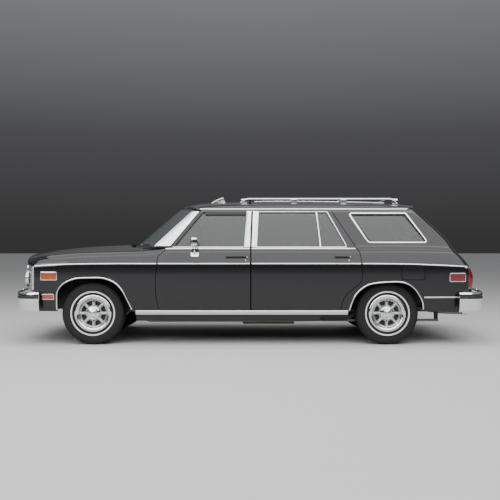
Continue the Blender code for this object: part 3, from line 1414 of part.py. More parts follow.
def build_underbody():
    low = (FIREWALL_X, -CABIN_HALF, FLOOR_Z - FLOOR_WALL)
    body = box("underbody", low, (RISER_X, CABIN_HALF, FLOOR_Z), STEEL)
    pieces = []

    def piece(low, high):
        pieces.append(box("structure", low, high, None, CUTTERS))

    def pair(low, high):
        for side in (-1, 1):
            ys = sorted((side * low[1], side * high[1]))
            piece((low[0], ys[0], low[2]), (high[0], ys[1], high[2]))

    piece(low, (FIREWALL_X + FIREWALL_WALL, CABIN_HALF, COWL_FOOT_Z))
    pair((FIREWALL_X, HINGE_POST_Y, FLOOR_Z - FLOOR_WALL), (HINGE_POST_X, CABIN_HALF, COWL_FOOT_Z))
    piece((FIREWALL_X, -TUNNEL_HALF, FLOOR_Z - FLOOR_WALL), (RISER_X, TUNNEL_HALF, TUNNEL_Z))
    piece((RISER_X - FLOOR_WALL, -CABIN_HALF, FLOOR_Z - FLOOR_WALL), (RISER_X, CABIN_HALF, LOAD_FLOOR_Z))
    for low_x, high_x, half in (
        (RISER_X - FLOOR_WALL, WHEELHOUSE_FRONT_X + FLOOR_WALL, LOAD_HALF),
        (RISER_X, FLOOR_REAR_X, WHEELHOUSE_INNER_Y),
        (WHEELHOUSE_REAR_X - FLOOR_WALL, FLOOR_REAR_X, LOAD_HALF),
    ):
        piece((low_x, -half, LOAD_FLOOR_Z - FLOOR_WALL), (high_x, half, LOAD_FLOOR_Z))
    pair((WHEELHOUSE_FRONT_X, WHEELHOUSE_INNER_Y - FLOOR_WALL, FRAME_RAIL_Z),
         (WHEELHOUSE_REAR_X, WHEELHOUSE_INNER_Y, WHEELHOUSE_TOP_Z))
    pair((WHEELHOUSE_FRONT_X, WHEELHOUSE_INNER_Y - FLOOR_WALL, WHEELHOUSE_TOP_Z - FLOOR_WALL),
         (WHEELHOUSE_REAR_X, LOAD_HALF, WHEELHOUSE_TOP_Z))
    pair((DOOR_REAR_X + FRAME_WALL, LOAD_HALF - FLOOR_WALL, WHEELHOUSE_TOP_Z - FLOOR_WALL),
         (WHEELHOUSE_REAR_X, HALF_WIDTH, WHEELHOUSE_TOP_Z))
    for x in (WHEELHOUSE_FRONT_X, WHEELHOUSE_REAR_X - FLOOR_WALL):
        pair((x, WHEELHOUSE_INNER_Y - FLOOR_WALL, LOAD_FLOOR_Z - FLOOR_WALL),
             (x + FLOOR_WALL, LOAD_HALF, WHEELHOUSE_TOP_Z))
    pair((RISER_X - FLOOR_WALL, RAIL_BEAM_Y - RAIL_BEAM_WIDTH / 2, FRAME_RAIL_Z),
         (FLOOR_REAR_X, RAIL_BEAM_Y + RAIL_BEAM_WIDTH / 2, LOAD_FLOOR_Z - FLOOR_WALL / 2))
    piece((TANK_FRONT_X, -TANK_HALF, TANK_FOOT_Z), (TANK_REAR_X, TANK_HALF, TANK_TOP_Z))
    piece((FLOOR_REAR_X - FLOOR_WALL, -LOAD_HALF, FRAME_RAIL_Z), (FLOOR_REAR_X + FLOOR_WALL, LOAD_HALF, REAR_SILL_Z))
    sill = wall(loft("sill", side_rows(SILL_FRONT_X - OVERRUN, SILL_REAR_X + OVERRUN, DOOR_STATIONS), None, CUTTERS),
                SILL_WALL)
    top = DOOR_FOOT_Z - SILL_GAP
    low_top = FENDER_FOOT_Z - SILL_GAP
    step_x = front_door_edge()[0][0]
    outline = [(SILL_FRONT_X, SILL_Z), (SILL_REAR_X, SILL_Z), (SILL_REAR_X, low_top), (REAR_FOOT_X, low_top),
               (REAR_FOOT_X, top), (step_x, top), (step_x, low_top), (SILL_FRONT_X, low_top)]
    keep(sill, cutter("sill_outline", outline, FAR_OUT, SIDE_IN))
    pieces += [sill, other_side(sill, "sill_right")]
    CUTTERS.objects.link(pieces[-1])
    PARTS.objects.unlink(pieces[-1])
    pieces[-1].hide_render = True
    pieces[-1].display_type = "WIRE"
    pair((SILL_FRONT_X, SILL_INNER_Y, SILL_Z), (SILL_REAR_X, SILL_OUTER_Y, low_top))
    for x, top in ((SPRING_FRONT_HANGER_X, SPRING_FRONT_HANGER_Z), (SPRING_REAR_HANGER_X, SPRING_REAR_HANGER_Z)):
        pair((x, SPRING_Y - SPRING_HALF, SPRING_TOP_Z + SEAT_GAP), (x + SPRING_HANGER_LENGTH, SPRING_Y + SPRING_HALF, top))
    for side in (-1, 1):
        sections = []
        for z, outer, lean in (
            (B_POST_FOOT_Z, B_POST_FACE_Y, 0),
            (B_POST_BELT_Z, B_POST_FACE_Y, 0),
            (B_POST_TOP_Z, B_POST_TOP_Y, B_POST_LEAN_DEPTH),
        ):
            inner = outer - B_POST_WALL
            points = ((B_POST_FRONT_X, outer), (B_POST_REAR_X, outer), (B_POST_REAR_X, inner), (B_POST_FRONT_X, inner))
            sections.append([(x + lean, side * y, z) for x, y in points])
        pieces.append(loft("b_post", sections, None, CUTTERS, closed=True))
    join(body, *pieces)
    shells = [shell(loft("quarter_clearance", quarter_rows(), None, CUTTERS), QUARTER_WALL + SEAT_GAP, OVERRUN)]
    shells.append(other_side(shells[0], "quarter_clearance_right"))
    CUTTERS.objects.link(shells[1])
    PARTS.objects.unlink(shells[1])
    shells[1].hide_render = True
    shells[1].display_type = "WIRE"
    cut(body, *shells)


SPRING_HALF = 0.030
SPRING_TOP_Z = 0.234
SPRING_HANGER_LENGTH = 0.030
SPRING_FRONT_HANGER_X = 0.765
SPRING_FRONT_HANGER_Z = 0.255
SPRING_REAR_HANGER_X = 1.955
SPRING_REAR_HANGER_Z = 0.405
TUNNEL_HALF = 0.150
TUNNEL_Z = 0.420
LOAD_HALF = CABIN_HALF
FRAME_RAIL_Z = 0.400
RAIL_BEAM_Y = 0.500
RAIL_BEAM_WIDTH = 0.080
TANK_FRONT_X = 1.800
TANK_REAR_X = 2.150
TANK_HALF = 0.420
TANK_FOOT_Z = 0.300
TANK_TOP_Z = 0.510
REAR_SILL_Z = 0.570
SILL_INNER_Y = 0.740
SILL_OUTER_Y = 0.845
B_POST_FOOT_Z = 0.250
B_POST_BELT_Z = 0.980
B_POST_TOP_Z = 1.385
B_POST_TOP_Y = 0.645
B_POST_LEAN_DEPTH = 0.020
B_POST_FRONT_X = -0.045
B_POST_REAR_X = 0.058
B_POST_WALL = 0.045


# Front frame, with inner fenders and suspension arms: low and high corners of its right-hand pieces, as
# shares of the nose's distance, the half width and the crease height
FRONT_BEAM_X = -2.280
FRAME_REAR_X = FIREWALL_X - SEAT_GAP
FRAME_RAIL_INNER_Y = 0.360
BEAM_DEPTH = 0.065
BEAM_HALF = 0.620
BEAM_FOOT_Z = 0.400
BEAM_TOP_Z = 0.520
RADIATOR_FRONT_X = -2.150
RADIATOR_REAR_X = -2.110
RADIATOR_HALF = 0.615
RADIATOR_FOOT_Z = 0.405
RADIATOR_TOP_Z = 0.860
CROSS_FRONT_X = -1.660
CROSS_REAR_X = -1.550
CROSS_HALF = 0.455
CROSS_FOOT_Z = 0.230
CROSS_TOP_Z = 0.345
FRAME_PIECE_SHARES = {
    "rail": ((-0.99555556, 0.38216561, 0.39759036), (-0.45791111, 0.4670913, 0.54216867)),
    "flange": ((-0.92888889, 0.45647558, 0.42168675), (-0.47111111, 0.50955414, 0.44096386)),
    "apron": ((-0.93333333, 0.49893843, 0.40963855), (-0.46666667, 0.514862, 0.86144578)),
    "shelf": ((-0.91555556, 0.50424628, 0.84337349), (-0.49333333, 1.0, 0.86024096)),
    "rear_wall": ((-0.49866667, 0.50424628, 0.41686747), (-0.49155556, 1.0, 0.85301205)),
    "front_wall": ((-0.92266667, 0.50424628, 0.5060241), (-0.91466667, 1.0, 0.85301205)),
    "beam_end": ((-1.0, 0.59447983, 0.4939759), (-0.94666667, 0.64755839, 0.61445783)),
    "lower_arm": ((-0.73333333, 0.44585987, 0.24819277), (-0.69422222, 0.64755839, 0.28433735)),
    "lower_tip": ((-0.72355556, 0.63694268, 0.25301205), (-0.704, 0.72473461, 0.27951807)),
    "upper_arm": ((-0.72355556, 0.507431, 0.5060241), (-0.704, 0.72473461, 0.53012048)),
}


def build_front_frame():
    beam_rear_x = FRONT_BEAM_X + BEAM_DEPTH
    frame = box("front_frame", (FRONT_BEAM_X, -BEAM_HALF, BEAM_FOOT_Z), (beam_rear_x, BEAM_HALF, BEAM_TOP_Z), STEEL)
    low = (RADIATOR_FRONT_X, -RADIATOR_HALF, RADIATOR_FOOT_Z)
    join(frame, box("radiator_support", low, (RADIATOR_REAR_X, RADIATOR_HALF, RADIATOR_TOP_Z), None, CUTTERS))
    low = (CROSS_FRONT_X, -CROSS_HALF, CROSS_FOOT_Z)
    join(frame, box("crossmember", low, (CROSS_REAR_X, CROSS_HALF, CROSS_TOP_Z), None, CUTTERS))
    for name, shares in FRAME_PIECE_SHARES.items():
        low, high = sized(shares, -BODY_NOSE_X, HALF_WIDTH, CREASE_Z)
        if name == "rail":
            low = (low[0], FRAME_RAIL_INNER_Y, low[2])
            high = (FRAME_REAR_X, high[1], high[2])
        if name in ("lower_tip", "upper_arm"):
            high = (high[0], KINGPIN_EDGE_Y, high[2])
        for side in (-1, 1):
            ys = sorted((side * low[1], side * high[1]))
            join(frame, box(name, (low[0], ys[0], low[2]), (high[0], ys[1], high[2]), None, CUTTERS))
    rows = side_rows(BODY_NOSE_X, PILLAR_FOOT_X + OVERRUN / 4, FENDER_STATIONS)
    left = shell(loft("fender_clearance", rows, None, CUTTERS), FENDER_WALL + SEAT_GAP, OVERRUN)
    right = other_side(left, "fender_clearance_right")
    CUTTERS.objects.link(right)
    PARTS.objects.unlink(right)
    right.hide_render = True
    right.display_type = "WIRE"
    cut(frame, left, right)


def build_cabin():
    outline = placed(DASH_SHARES, DASH_FRONT_X, DASH_REAR_X, DASH_FOOT_Z, DASH_TOP_Z)
    dash = plate("dashboard", outline, -DASH_HALF, DASH_HALF, "Y", VINYL)
    column = cylinder("column", (0, 0, 0), COLUMN_RADIUS, COLUMN_LENGTH, "Z", None, CUTTERS, 16)
    lean = Matrix.Rotation(COLUMN_TURN, 4, "Y")
    hub = Vector((WHEEL_HUB_X, WHEEL_HUB_Y, WHEEL_HUB_Z))
    below = -(COLUMN_LENGTH + HUB_DEPTH) / 2 - SEAT_GAP
    column.data.transform(Matrix.Translation(hub) @ lean @ Matrix.Translation((0, 0, below)))
    join(dash, column)
    outline = seat_outline(FRONT_SEAT_SHARES, FRONT_SEAT_FRONT_X, FRONT_SEAT_REAR_X)
    front = plate("front_seat", outline, -SEAT_HALF, SEAT_HALF, "Y", VINYL)
    outline = seat_outline(REAR_SEAT_SHARES, REAR_SEAT_FRONT_X, REAR_SEAT_REAR_X)
    rear = plate("rear_seat", outline, -REAR_SEAT_HALF, REAR_SEAT_HALF, "Y", VINYL)
    over_tunnel = box("over_tunnel", (FIREWALL_X, -TUNNEL_HALF - PANEL_GAP, 0),
                      (RISER_X, TUNNEL_HALF + PANEL_GAP, TUNNEL_Z + PANEL_GAP), None, CUTTERS)
    for seat in (front, rear):
        cut(seat, over_tunnel)
    wheel = steering_wheel(Matrix.Translation(hub) @ lean)
    on_joint("steering_wheel", hub, wheel)


def seat_outline(shares, front_x, rear_x):
    corners = []
    for x_share, z_share, corner in shares:
        x = between(front_x, rear_x, x_share)
        corners.append((x, between(SEAT_FOOT_Z, SEAT_TOP_Z, z_share), SEAT_CORNER * corner))
    return rounded(corners)


DASH_INSET = 0.030
DASH_HALF = CABIN_HALF - DASH_INSET
DASH_FRONT_X = HINGE_POST_X + SEAT_GAP
DASH_REAR_X = -0.735
DASH_FOOT_Z = 0.680
DASH_TOP_Z = 0.985
DASH_SHARES = (
    (0.0, 0.06557377), (0.80661796, 0.0), (1.0, 0.39344262), (0.95702621, 0.81967213), (0.76364418, 1.0),
    (0.16201117, 0.96721311), (0.0, 0.72131148),
)
COLUMN_RADIUS = 0.026
COLUMN_LENGTH = 0.340
COLUMN_TURN = math.radians(62)
WHEEL_HUB_X = -0.470
WHEEL_HUB_Y = -0.370
WHEEL_HUB_Z = 0.860
HUB_RADIUS = 0.038
HUB_DEPTH = 0.030
WHEEL_RADIUS = 0.190
WHEEL_ROD = 0.012
WHEEL_SPOKE = 0.014
SEAT_HALF = 0.690
REAR_SEAT_HALF = 0.575
FRONT_SEAT_FRONT_X = -0.420
FRONT_SEAT_REAR_X = 0.380
REAR_SEAT_FRONT_X = 0.400
REAR_SEAT_REAR_X = 1.055
SEAT_LIFT = 0.0005
SEAT_FOOT_Z = FLOOR_Z + SEAT_LIFT
SEAT_TOP_Z = 1.050
SEAT_CORNER = 0.070
FRONT_SEAT_SHARES = (
    (0.0, 0.0, 0.42857143), (0.675, 0.0, 0.42857143), (1.0, 0.97460317, 0.85714286),
    (0.81875, 1.0, 0.71428571), (0.5625, 0.35238095, 0.57142857), (0.0, 0.37777778, 1.0),
)
REAR_SEAT_SHARES = (
    (0.0, 0.0, 0.42857143), (0.78625954, 0.0, 0.42857143), (1.0, 0.98730159, 0.71428571),
    (0.82442748, 0.99365079, 0.64285714), (0.61068702, 0.36507937, 0.57142857), (0.0, 0.37777778, 1.0),
)


def steering_wheel(place):
    bm = bmesh.new()
    ring = []
    for k in range(6):
        turn = math.tau * k / 6
        ring.append(bm.verts.new((WHEEL_RADIUS + WHEEL_ROD * math.cos(turn), 0, WHEEL_ROD * math.sin(turn))))
    edges = [bm.edges.new((a, b)) for a, b in zip(ring, ring[1:] + ring[:1])]
    bmesh.ops.spin(bm, geom=ring + edges, cent=(0, 0, 0), axis=(0, 0, 1), angle=math.tau, steps=20, use_merge=True)
    bmesh.ops.remove_doubles(bm, verts=bm.verts, dist=WELD)
    bmesh.ops.recalc_face_normals(bm, faces=bm.faces)
    wheel = add("steering_wheel", mesh_of(bm, "steering_wheel"), PLASTIC)
    hub = cylinder("wheel_hub", (0, 0, 0), HUB_RADIUS, HUB_DEPTH, "Z", None, CUTTERS, 20)
    pieces = [hub]
    for turn in (0, 150, 210):
        low = (0, -WHEEL_SPOKE, -WHEEL_ROD / 2)
        spoke = box("wheel_spoke", low, (WHEEL_RADIUS, WHEEL_SPOKE, WHEEL_ROD / 2), None, CUTTERS)
        spoke.data.transform(Matrix.Rotation(math.radians(turn), 4, "Z"))
        pieces.append(spoke)
    for body in [wheel] + pieces:
        body.data.transform(place)
    join(wheel, *pieces)
    return wheel


# Engine, drive line and exhaust
def build_running_gear():
    low = (ENGINE_FRONT_X, -ENGINE_HALF, ENGINE_FOOT_Z)
    engine = box("engine", low, (ENGINE_REAR_X, ENGINE_HALF, ENGINE_TOP_Z), STEEL)
    low = (SUMP_FRONT_X, -SUMP_HALF, SUMP_FOOT_Z)
    join(engine, box("sump", low, (SUMP_REAR_X, SUMP_HALF, ENGINE_FOOT_Z + SUMP_OVERLAP), None, CUTTERS))
    for side in (-1, 1):
        low, high = sorted((side * (ENGINE_HALF - SUMP_OVERLAP), side * (FRAME_RAIL_INNER_Y - SEAT_GAP)))
        corner = (MOUNT_REAR_X, high, MOUNT_TOP_Z)
        join(engine, box("engine_mount", (MOUNT_FRONT_X, low, MOUNT_FOOT_Z), corner, None, CUTTERS))
    build_rear_axle()
    path = []
    for run, out, rise in EXHAUST_SHARES:
        path.append((between(ENGINE_REAR_X, FLOOR_REAR_X, run), HALF_WIDTH * out, CREASE_Z * rise))
    path[0] = (path[0][0], -ENGINE_HALF - SEAT_GAP, path[0][2])
    exhaust = pipe("exhaust", path, EXHAUST_RADIUS, STEEL)
    for x in (EXHAUST_FRONT_HANGER_X, EXHAUST_REAR_HANGER_X):
        low = (x, EXHAUST_Y - EXHAUST_RADIUS / 2, EXHAUST_Z)
        high = (x + EXHAUST_RADIUS, EXHAUST_Y + EXHAUST_RADIUS / 2, FLOOR_Z - FLOOR_WALL - SEAT_GAP)
        join(exhaust, box("hanger", low, high, None, CUTTERS))
    place = (SILENCER_X, EXHAUST_Y, EXHAUST_Z)
    join(exhaust, cylinder("silencer", place, SILENCER_RADIUS, SILENCER_LENGTH, "X", None, CUTTERS, 12))


def build_rear_axle():
    """Axle tube with its differential, leaf springs and brake drums."""
    middle = (REAR_AXLE_X, 0, AXLE_Z)
    axle = cylinder("rear_axle", middle, AXLE_TUBE_RADIUS, AXLE_TUBE_LENGTH, "Y", STEEL, PARTS, 12)
    pieces = [cylinder("differential", middle, DIFFERENTIAL_RADIUS, DIFFERENTIAL_WIDTH, "Y", None, CUTTERS, 16)]
    for side in (-1, 1):
        near, far = SPRING_Y - SPRING_HALF, SPRING_Y + SPRING_HALF
        low, high = sorted((side * near, side * far))
        spring = ((SPRING_FRONT_X, low, SPRING_FOOT_Z), (SPRING_REAR_X, high, SPRING_TOP_Z))
        pieces.append(box("spring", *spring, None, CUTTERS))
        foot = (REAR_AXLE_X - SPRING_SEAT_HALF, low, SPRING_SEAT_FOOT_Z)
        pieces.append(box("spring_seat", foot, (REAR_AXLE_X + SPRING_SEAT_HALF, high, SPRING_SEAT_Z), None, CUTTERS))
        end_y = TRACK_HALF + HUB_FACE_OUT - SEAT_GAP
        middle_y = end_y - AXLE_END_LENGTH / 2
        end = (REAR_AXLE_X, side * middle_y, AXLE_Z)
        pieces.append(cylinder("axle_end", end, AXLE_END_RADIUS, AXLE_END_LENGTH, "Y", None, CUTTERS, 12))
        drum = (REAR_AXLE_X, side * REAR_DRUM_Y, AXLE_Z)
        pieces.append(cylinder("drum", drum, DRUM_RADIUS, REAR_DRUM_WIDTH, "Y", None, CUTTERS, 20))
    join(axle, *pieces)


ENGINE_FRONT_X = -1.930
ENGINE_REAR_X = -1.150
ENGINE_HALF = 0.230
ENGINE_FOOT_Z = 0.420
ENGINE_TOP_Z = 0.840
SUMP_FRONT_X = -1.860
SUMP_REAR_X = -1.300
SUMP_HALF = 0.140
SUMP_FOOT_Z = 0.350
SUMP_OVERLAP = 0.020
MOUNT_FRONT_X = -1.640
MOUNT_REAR_X = -1.580
MOUNT_FOOT_Z = 0.425
MOUNT_TOP_Z = 0.445
AXLE_TUBE_RADIUS = 0.040
AXLE_TUBE_LENGTH = 1.420
DIFFERENTIAL_RADIUS = 0.120
DIFFERENTIAL_WIDTH = 0.200
SPRING_FRONT_X = 0.760
SPRING_REAR_X = 1.990
SPRING_FOOT_Z = 0.212
SPRING_SEAT_HALF = 0.060
SPRING_SEAT_FOOT_Z = 0.230
SPRING_SEAT_Z = 0.300
AXLE_END_RADIUS = 0.028
AXLE_END_LENGTH = 0.0734
HUB_FACE_OUT = 0.022
REAR_DRUM_Y = 0.705
REAR_DRUM_WIDTH = 0.050
DRUM_RADIUS = 0.125
AXLE_Z = 0.320
SPRING_Y = 0.560
EXHAUST_FRONT_HANGER_X = -0.600
EXHAUST_REAR_HANGER_X = 0.700
EXHAUST_RADIUS = 0.022
EXHAUST_Y = -0.310
EXHAUST_Z = 0.200
SILENCER_X = 0.200
SILENCER_LENGTH = 0.560
SILENCER_RADIUS = 0.044
EXHAUST_SHARES = (
    (-0.06896551, -0.24447983, 0.72289157), (-0.06896551, -0.27813163, 0.72289157), (-0.06446777, -0.31634820, 0.67469880),
    (-0.04497751, -0.32908705, 0.45783133), (-0.02098951, -0.32908705, 0.28313253), (0.01499250, -0.32908705, 0.24096386),
    (0.41979010, -0.32908705, 0.24096386), (0.65967016, -0.32908705, 0.25301205), (0.69865067, -0.32908705, 0.34939759),
    (0.73163419, -0.32908705, 0.48795181), (0.76581709, -0.32908705, 0.53012048), (0.80059970, -0.35031847, 0.50602410),
    (0.84857571, -0.44585987, 0.45180723), (0.89055473, -0.50530786, 0.40361446), (0.95952024, -0.51167728, 0.36746988),
    (1.03448276, -0.53078556, 0.36144578),
)


def pipe(name, path, radius, finish):
    """A round pipe through the points of a path."""
    rows = []
    for i, place in enumerate(path):
        ahead = Vector(path[min(i + 1, len(path) - 1)]) - Vector(path[max(i - 1, 0)])
        side = ahead.cross(Vector((0, 0, 1))).normalized()
        up = side.cross(ahead).normalized()
        turns = [math.tau * k / 8 for k in range(8)]
        rows.append([Vector(place) + (side * math.cos(t) + up * math.sin(t)) * radius for t in turns])
    return loft(name, rows, finish, PARTS, closed=True)


# Wheels
TYRE_RADIUS = 0.320
TRACK_HALF = 0.755
RIM_PROFILE_SHARES = (
    (0.19375, 0.0), (0.19375, 0.140625), (0.1375, 0.225), (0.15625, 0.4375), (0.23125, 0.49375),
    (0.275, 0.51875), (0.275, 0.590625), (0.25, 0.590625), (0.25, 0.555), (-0.25, 0.555),
    (-0.25, 0.590625), (-0.275, 0.590625), (-0.275, 0.525), (0.09375, 0.5), (0.06875, 0.1875),
    (0.06875, 0.0),
)
TYRE_PROFILE_SHARES = (
    (-0.2490625, 0.5559375), (-0.2490625, 0.5915625), (-0.2875, 0.6125), (-0.3046875, 0.75), (-0.29375, 0.890625),
    (-0.24375, 0.98125), (-0.15625, 0.9984375), (0.0, 1.0), (0.15625, 0.9984375), (0.24375, 0.98125),
    (0.29375, 0.890625), (0.3046875, 0.75), (0.2875, 0.6125), (0.2490625, 0.5915625), (0.2490625, 0.5559375),
)
WHEEL_STEPS = 24
KINGPIN_LENGTH = 0.270
STUB_LENGTH = 0.0808
FRONT_DRUM_Y = 0.722
FRONT_DRUM_WIDTH = 0.012


def build_wheels():
    rim_profile = sized(RIM_PROFILE_SHARES, TYRE_RADIUS, TYRE_RADIUS)
    tyre_profile = sized(TYRE_PROFILE_SHARES, TYRE_RADIUS, TYRE_RADIUS)
    for place, x in (("front", FRONT_AXLE_X), ("rear", REAR_AXLE_X)):
        centre = Vector((x, -TRACK_HALF, AXLE_Z))
        rim = revolve("rim_%s_left" % place, [(-a, r) for a, r in rim_profile], centre, WHEEL_STEPS, RIM_PAINT)
        tyre = revolve("tyre_%s_left" % place, [(-a, r) for a, r in tyre_profile], centre, WHEEL_STEPS, RUBBER)
        twins = [other_side(body, body.name.replace("left", "right")) for body in (rim, tyre)]
        on_joint("wheel_%s_left" % place, centre, rim, tyre)
        on_joint("wheel_%s_right" % place, (x, TRACK_HALF, AXLE_Z), *twins)
    pin = (FRONT_AXLE_X, -KINGPIN_Y, AXLE_Z)
    knuckle = cylinder("knuckle_left", pin, KINGPIN_RADIUS, KINGPIN_LENGTH, "Z", STEEL, PARTS, 12)
    stub_y = TRACK_HALF + HUB_FACE_OUT - SEAT_GAP - STUB_LENGTH / 2
    stub = (FRONT_AXLE_X, -stub_y, AXLE_Z)
    drum = (FRONT_AXLE_X, -FRONT_DRUM_Y, AXLE_Z)
    join(
        knuckle,
        cylinder("stub", stub, AXLE_END_RADIUS, STUB_LENGTH, "Y", None, CUTTERS, 12),
        cylinder("front_drum", drum, DRUM_RADIUS, FRONT_DRUM_WIDTH, "Y", None, CUTTERS, 20),
    )
    twin = other_side(knuckle, "knuckle_right")
    on_joint("knuckle_left", (FRONT_AXLE_X, -KINGPIN_Y, AXLE_Z), knuckle)
    on_joint("knuckle_right", (FRONT_AXLE_X, KINGPIN_Y, AXLE_Z), twin)


build_fenders()
build_doors()
build_quarters()
build_tailgate()
build_roof()
build_roof_fittings()
build_windscreen()
build_windscreen_frame()
build_hood()
build_nose()
build_face()
build_bumpers()
build_underbody()
build_front_frame()
build_cabin()
build_running_gear()
build_wheels()
for body in PARTS.objects:
    if body.type == "MESH":
        smooth(body)
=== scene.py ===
"""The looks of a station wagon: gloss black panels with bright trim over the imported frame, glass, wheels,
lamps, a furnished cabin and the studio that it stands in. Metres, nose towards -X, driver's side -Y."""

import math

import bmesh
import bpy
from mathutils import Matrix, Vector


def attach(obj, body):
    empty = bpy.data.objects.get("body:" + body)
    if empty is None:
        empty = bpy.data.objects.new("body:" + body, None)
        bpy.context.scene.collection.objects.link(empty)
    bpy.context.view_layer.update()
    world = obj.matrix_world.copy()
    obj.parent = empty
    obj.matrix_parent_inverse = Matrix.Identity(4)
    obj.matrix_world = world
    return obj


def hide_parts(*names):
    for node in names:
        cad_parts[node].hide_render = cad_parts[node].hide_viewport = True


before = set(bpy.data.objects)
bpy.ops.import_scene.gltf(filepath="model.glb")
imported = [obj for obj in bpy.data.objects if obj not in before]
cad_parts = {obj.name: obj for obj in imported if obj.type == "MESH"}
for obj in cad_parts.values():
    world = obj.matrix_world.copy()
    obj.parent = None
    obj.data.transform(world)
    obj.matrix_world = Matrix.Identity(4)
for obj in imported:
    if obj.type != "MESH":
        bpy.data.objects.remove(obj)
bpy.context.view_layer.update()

# Driving dimensions of the body
NOSE_X, TAIL_X = -2.250, 2.280
HALF_WIDTH = 0.942
SILL_Z, CREASE_Z, BELT_Z, RAIL_Z, ROOF_Z = 0.245, 0.830, 0.985, 1.390, 1.500
DOOR_FOOT_Z, WINDOW_FOOT_Z, WINDOW_TOP_Z = 0.362, 1.002, 1.358
DOOR_FRONT_X, DOOR_SPLIT_X, DOOR_REAR_X = -0.938, 0.008, 1.128
GAP = 0.006
TINY = 0.0005
SAME_PLACE = 1e-6

# Side form
TUCK_UNDER, DOOR_INSET, FENDER_INSET = 0.100, 0.074, 0.242
CREASE_DROP, SHOULDER_DROP, DRAW_IN = 0.030, 0.070, 0.050
GLASS_FOOT_Y, RAIL_Y, GLASS_BULGE = 0.852, 0.692, 0.014
LOWER_SHARES = ((1.00, 0.00), (0.48, 0.15), (0.14, 0.42), (0.02, 0.74), (0.00, 1.00))
DOOR_SHARES = ((0.0, 0.0), (0.22, 0.35), (0.52, 0.70), (0.82, 0.91), (1.00, 1.00))
FENDER_SHARES = ((0.0, 0.0), (0.06, 0.37), (0.17, 0.70), (0.38, 0.93), (1.00, 1.03))
# Station as a share of the length, shares of the crease's drop, the shoulder's drop and the draw in,
# and how far the section is the fender's
LONG_SHARES = (
    (0.000, 1.00, 1.50, 1.10, 1.0), (0.020, 0.75, 0.95, 0.85, 1.0), (0.060, 0.40, 0.66, 0.52, 1.0),
    (0.110, 0.13, 0.40, 0.30, 1.0), (0.190, 0.00, 0.24, 0.08, 1.0), (0.250, 0.00, 0.16, 0.00, 0.75),
    (0.290, 0.00, 0.08, 0.00, 0.15), (0.325, 0.00, 0.00, 0.00, 0.0), (0.750, 0.00, 0.00, 0.00, 0.0),
    (0.850, 0.15, 0.00, 0.20, 0.0), (0.930, 0.60, 0.10, 0.60, 0.0), (1.000, 1.15, 0.30, 1.10, 0.0),
)
TAIL_FOOT_Z, TAIL_TOP_Z, TAIL_TOP_X = 0.340, 1.452, 1.640
TAIL_SHARES = (
    (0.00, 0.94), (0.20, 0.985), (0.27, 1.00), (0.34, 0.992), (0.41, 0.938), (0.48, 0.858), (0.55, 0.753),
    (0.65, 0.640), (0.74, 0.495), (0.83, 0.335), (0.90, 0.215), (0.94, 0.145), (0.975, 0.065), (1.00, 0.00),
)
TAIL_CORNER, TAIL_BOW = 0.055, 0.055


def between(low, high, share):
    return low + (high - low) * share


def spread(low, high, count):
    """Evenly spaced values from low to high, both included."""
    return [between(low, high, k / (count - 1)) for k in range(count)]


def along(x, xs, values):
    """Smooth curve through (xs, values), read at x and held level past its ends."""
    if x <= xs[0]:
        return values[0]
    if x >= xs[-1]:
        return values[-1]
    i = max(k for k in range(len(xs) - 1) if xs[k] <= x)

    def slope(k):
        low, high = max(k - 1, 0), min(k + 1, len(xs) - 1)
        return (values[high] - values[low]) / (xs[high] - xs[low])

    span = xs[i + 1] - xs[i]
    t = (x - xs[i]) / span
    start = (1 + 2 * t) * (1 - t) ** 2 * values[i] + t * (1 - t) ** 2 * span * slope(i)
    return start + t * t * (3 - 2 * t) * values[i + 1] + t * t * (t - 1) * span * slope(i + 1)


STATIONS = [between(NOSE_X, TAIL_X, row[0]) for row in LONG_SHARES]
COLUMNS = list(zip(*LONG_SHARES))


def long_line(x, column):
    return along(x, STATIONS, COLUMNS[column])


def section(x):
    """Half widths and heights up the side at x: five points to the crease, five from it to the top."""
    crease = CREASE_Z - CREASE_DROP * long_line(x, 1)
    top = BELT_Z - SHOULDER_DROP * long_line(x, 2)
    width = HALF_WIDTH - DRAW_IN * long_line(x, 3)
    wing = long_line(x, 4)
    lower = [(width - TUCK_UNDER * inset, between(SILL_Z, crease, rise)) for inset, rise in LOWER_SHARES]
    upper = []
    for door, fender in zip(DOOR_SHARES, FENDER_SHARES):
        inset = between(door[0] * DOOR_INSET, fender[0] * FENDER_INSET, wing)
        upper.append((width - inset, between(crease, top, between(door[1], fender[1], wing))))
    return lower, upper


def glass_y(x, z):
    t = (z - BELT_Z) / (RAIL_Z - BELT_Z)
    return between(GLASS_FOOT_Y, RAIL_Y, t) + GLASS_BULGE * 4 * t * (1 - t) - DRAW_IN * long_line(x, 3)


def side_line(x, v):
    """Half width and height at x; v is 0 at the sill, 1 at the crease, 2 at the belt and 3 at the rail."""
    if v > 2:
        z = between(BELT_Z, RAIL_Z, between(0.02, 1.0, v - 2))
        return glass_y(x, z), z
    lower, upper = section(x)
    points, share = (lower, v) if v <= 1 else (upper, v - 1)
    knots = [0.0, 0.25, 0.5, 0.75, 1.0]
    return along(share, knots, [p[0] for p in points]), along(share, knots, [p[1] for p in points])


def side_y(x, z):
    """Half width of the body at x and height z."""
    lower, upper = section(x)
    if z >= upper[-1][1]:
        return glass_y(x, z)
    points = lower if z <= lower[-1][1] else upper
    return along(z, [p[1] for p in points], [p[0] for p in points])


def side(x, z):
    """The left side's surface at x and height z."""
    return Vector((x, -side_y(x, z), z))


def tail_x(z):
    share = (z - TAIL_FOOT_Z) / (TAIL_TOP_Z - TAIL_FOOT_Z)
    heights, reaches = zip(*TAIL_SHARES)
    return between(TAIL_TOP_X, TAIL_X, along(share, heights, reaches))


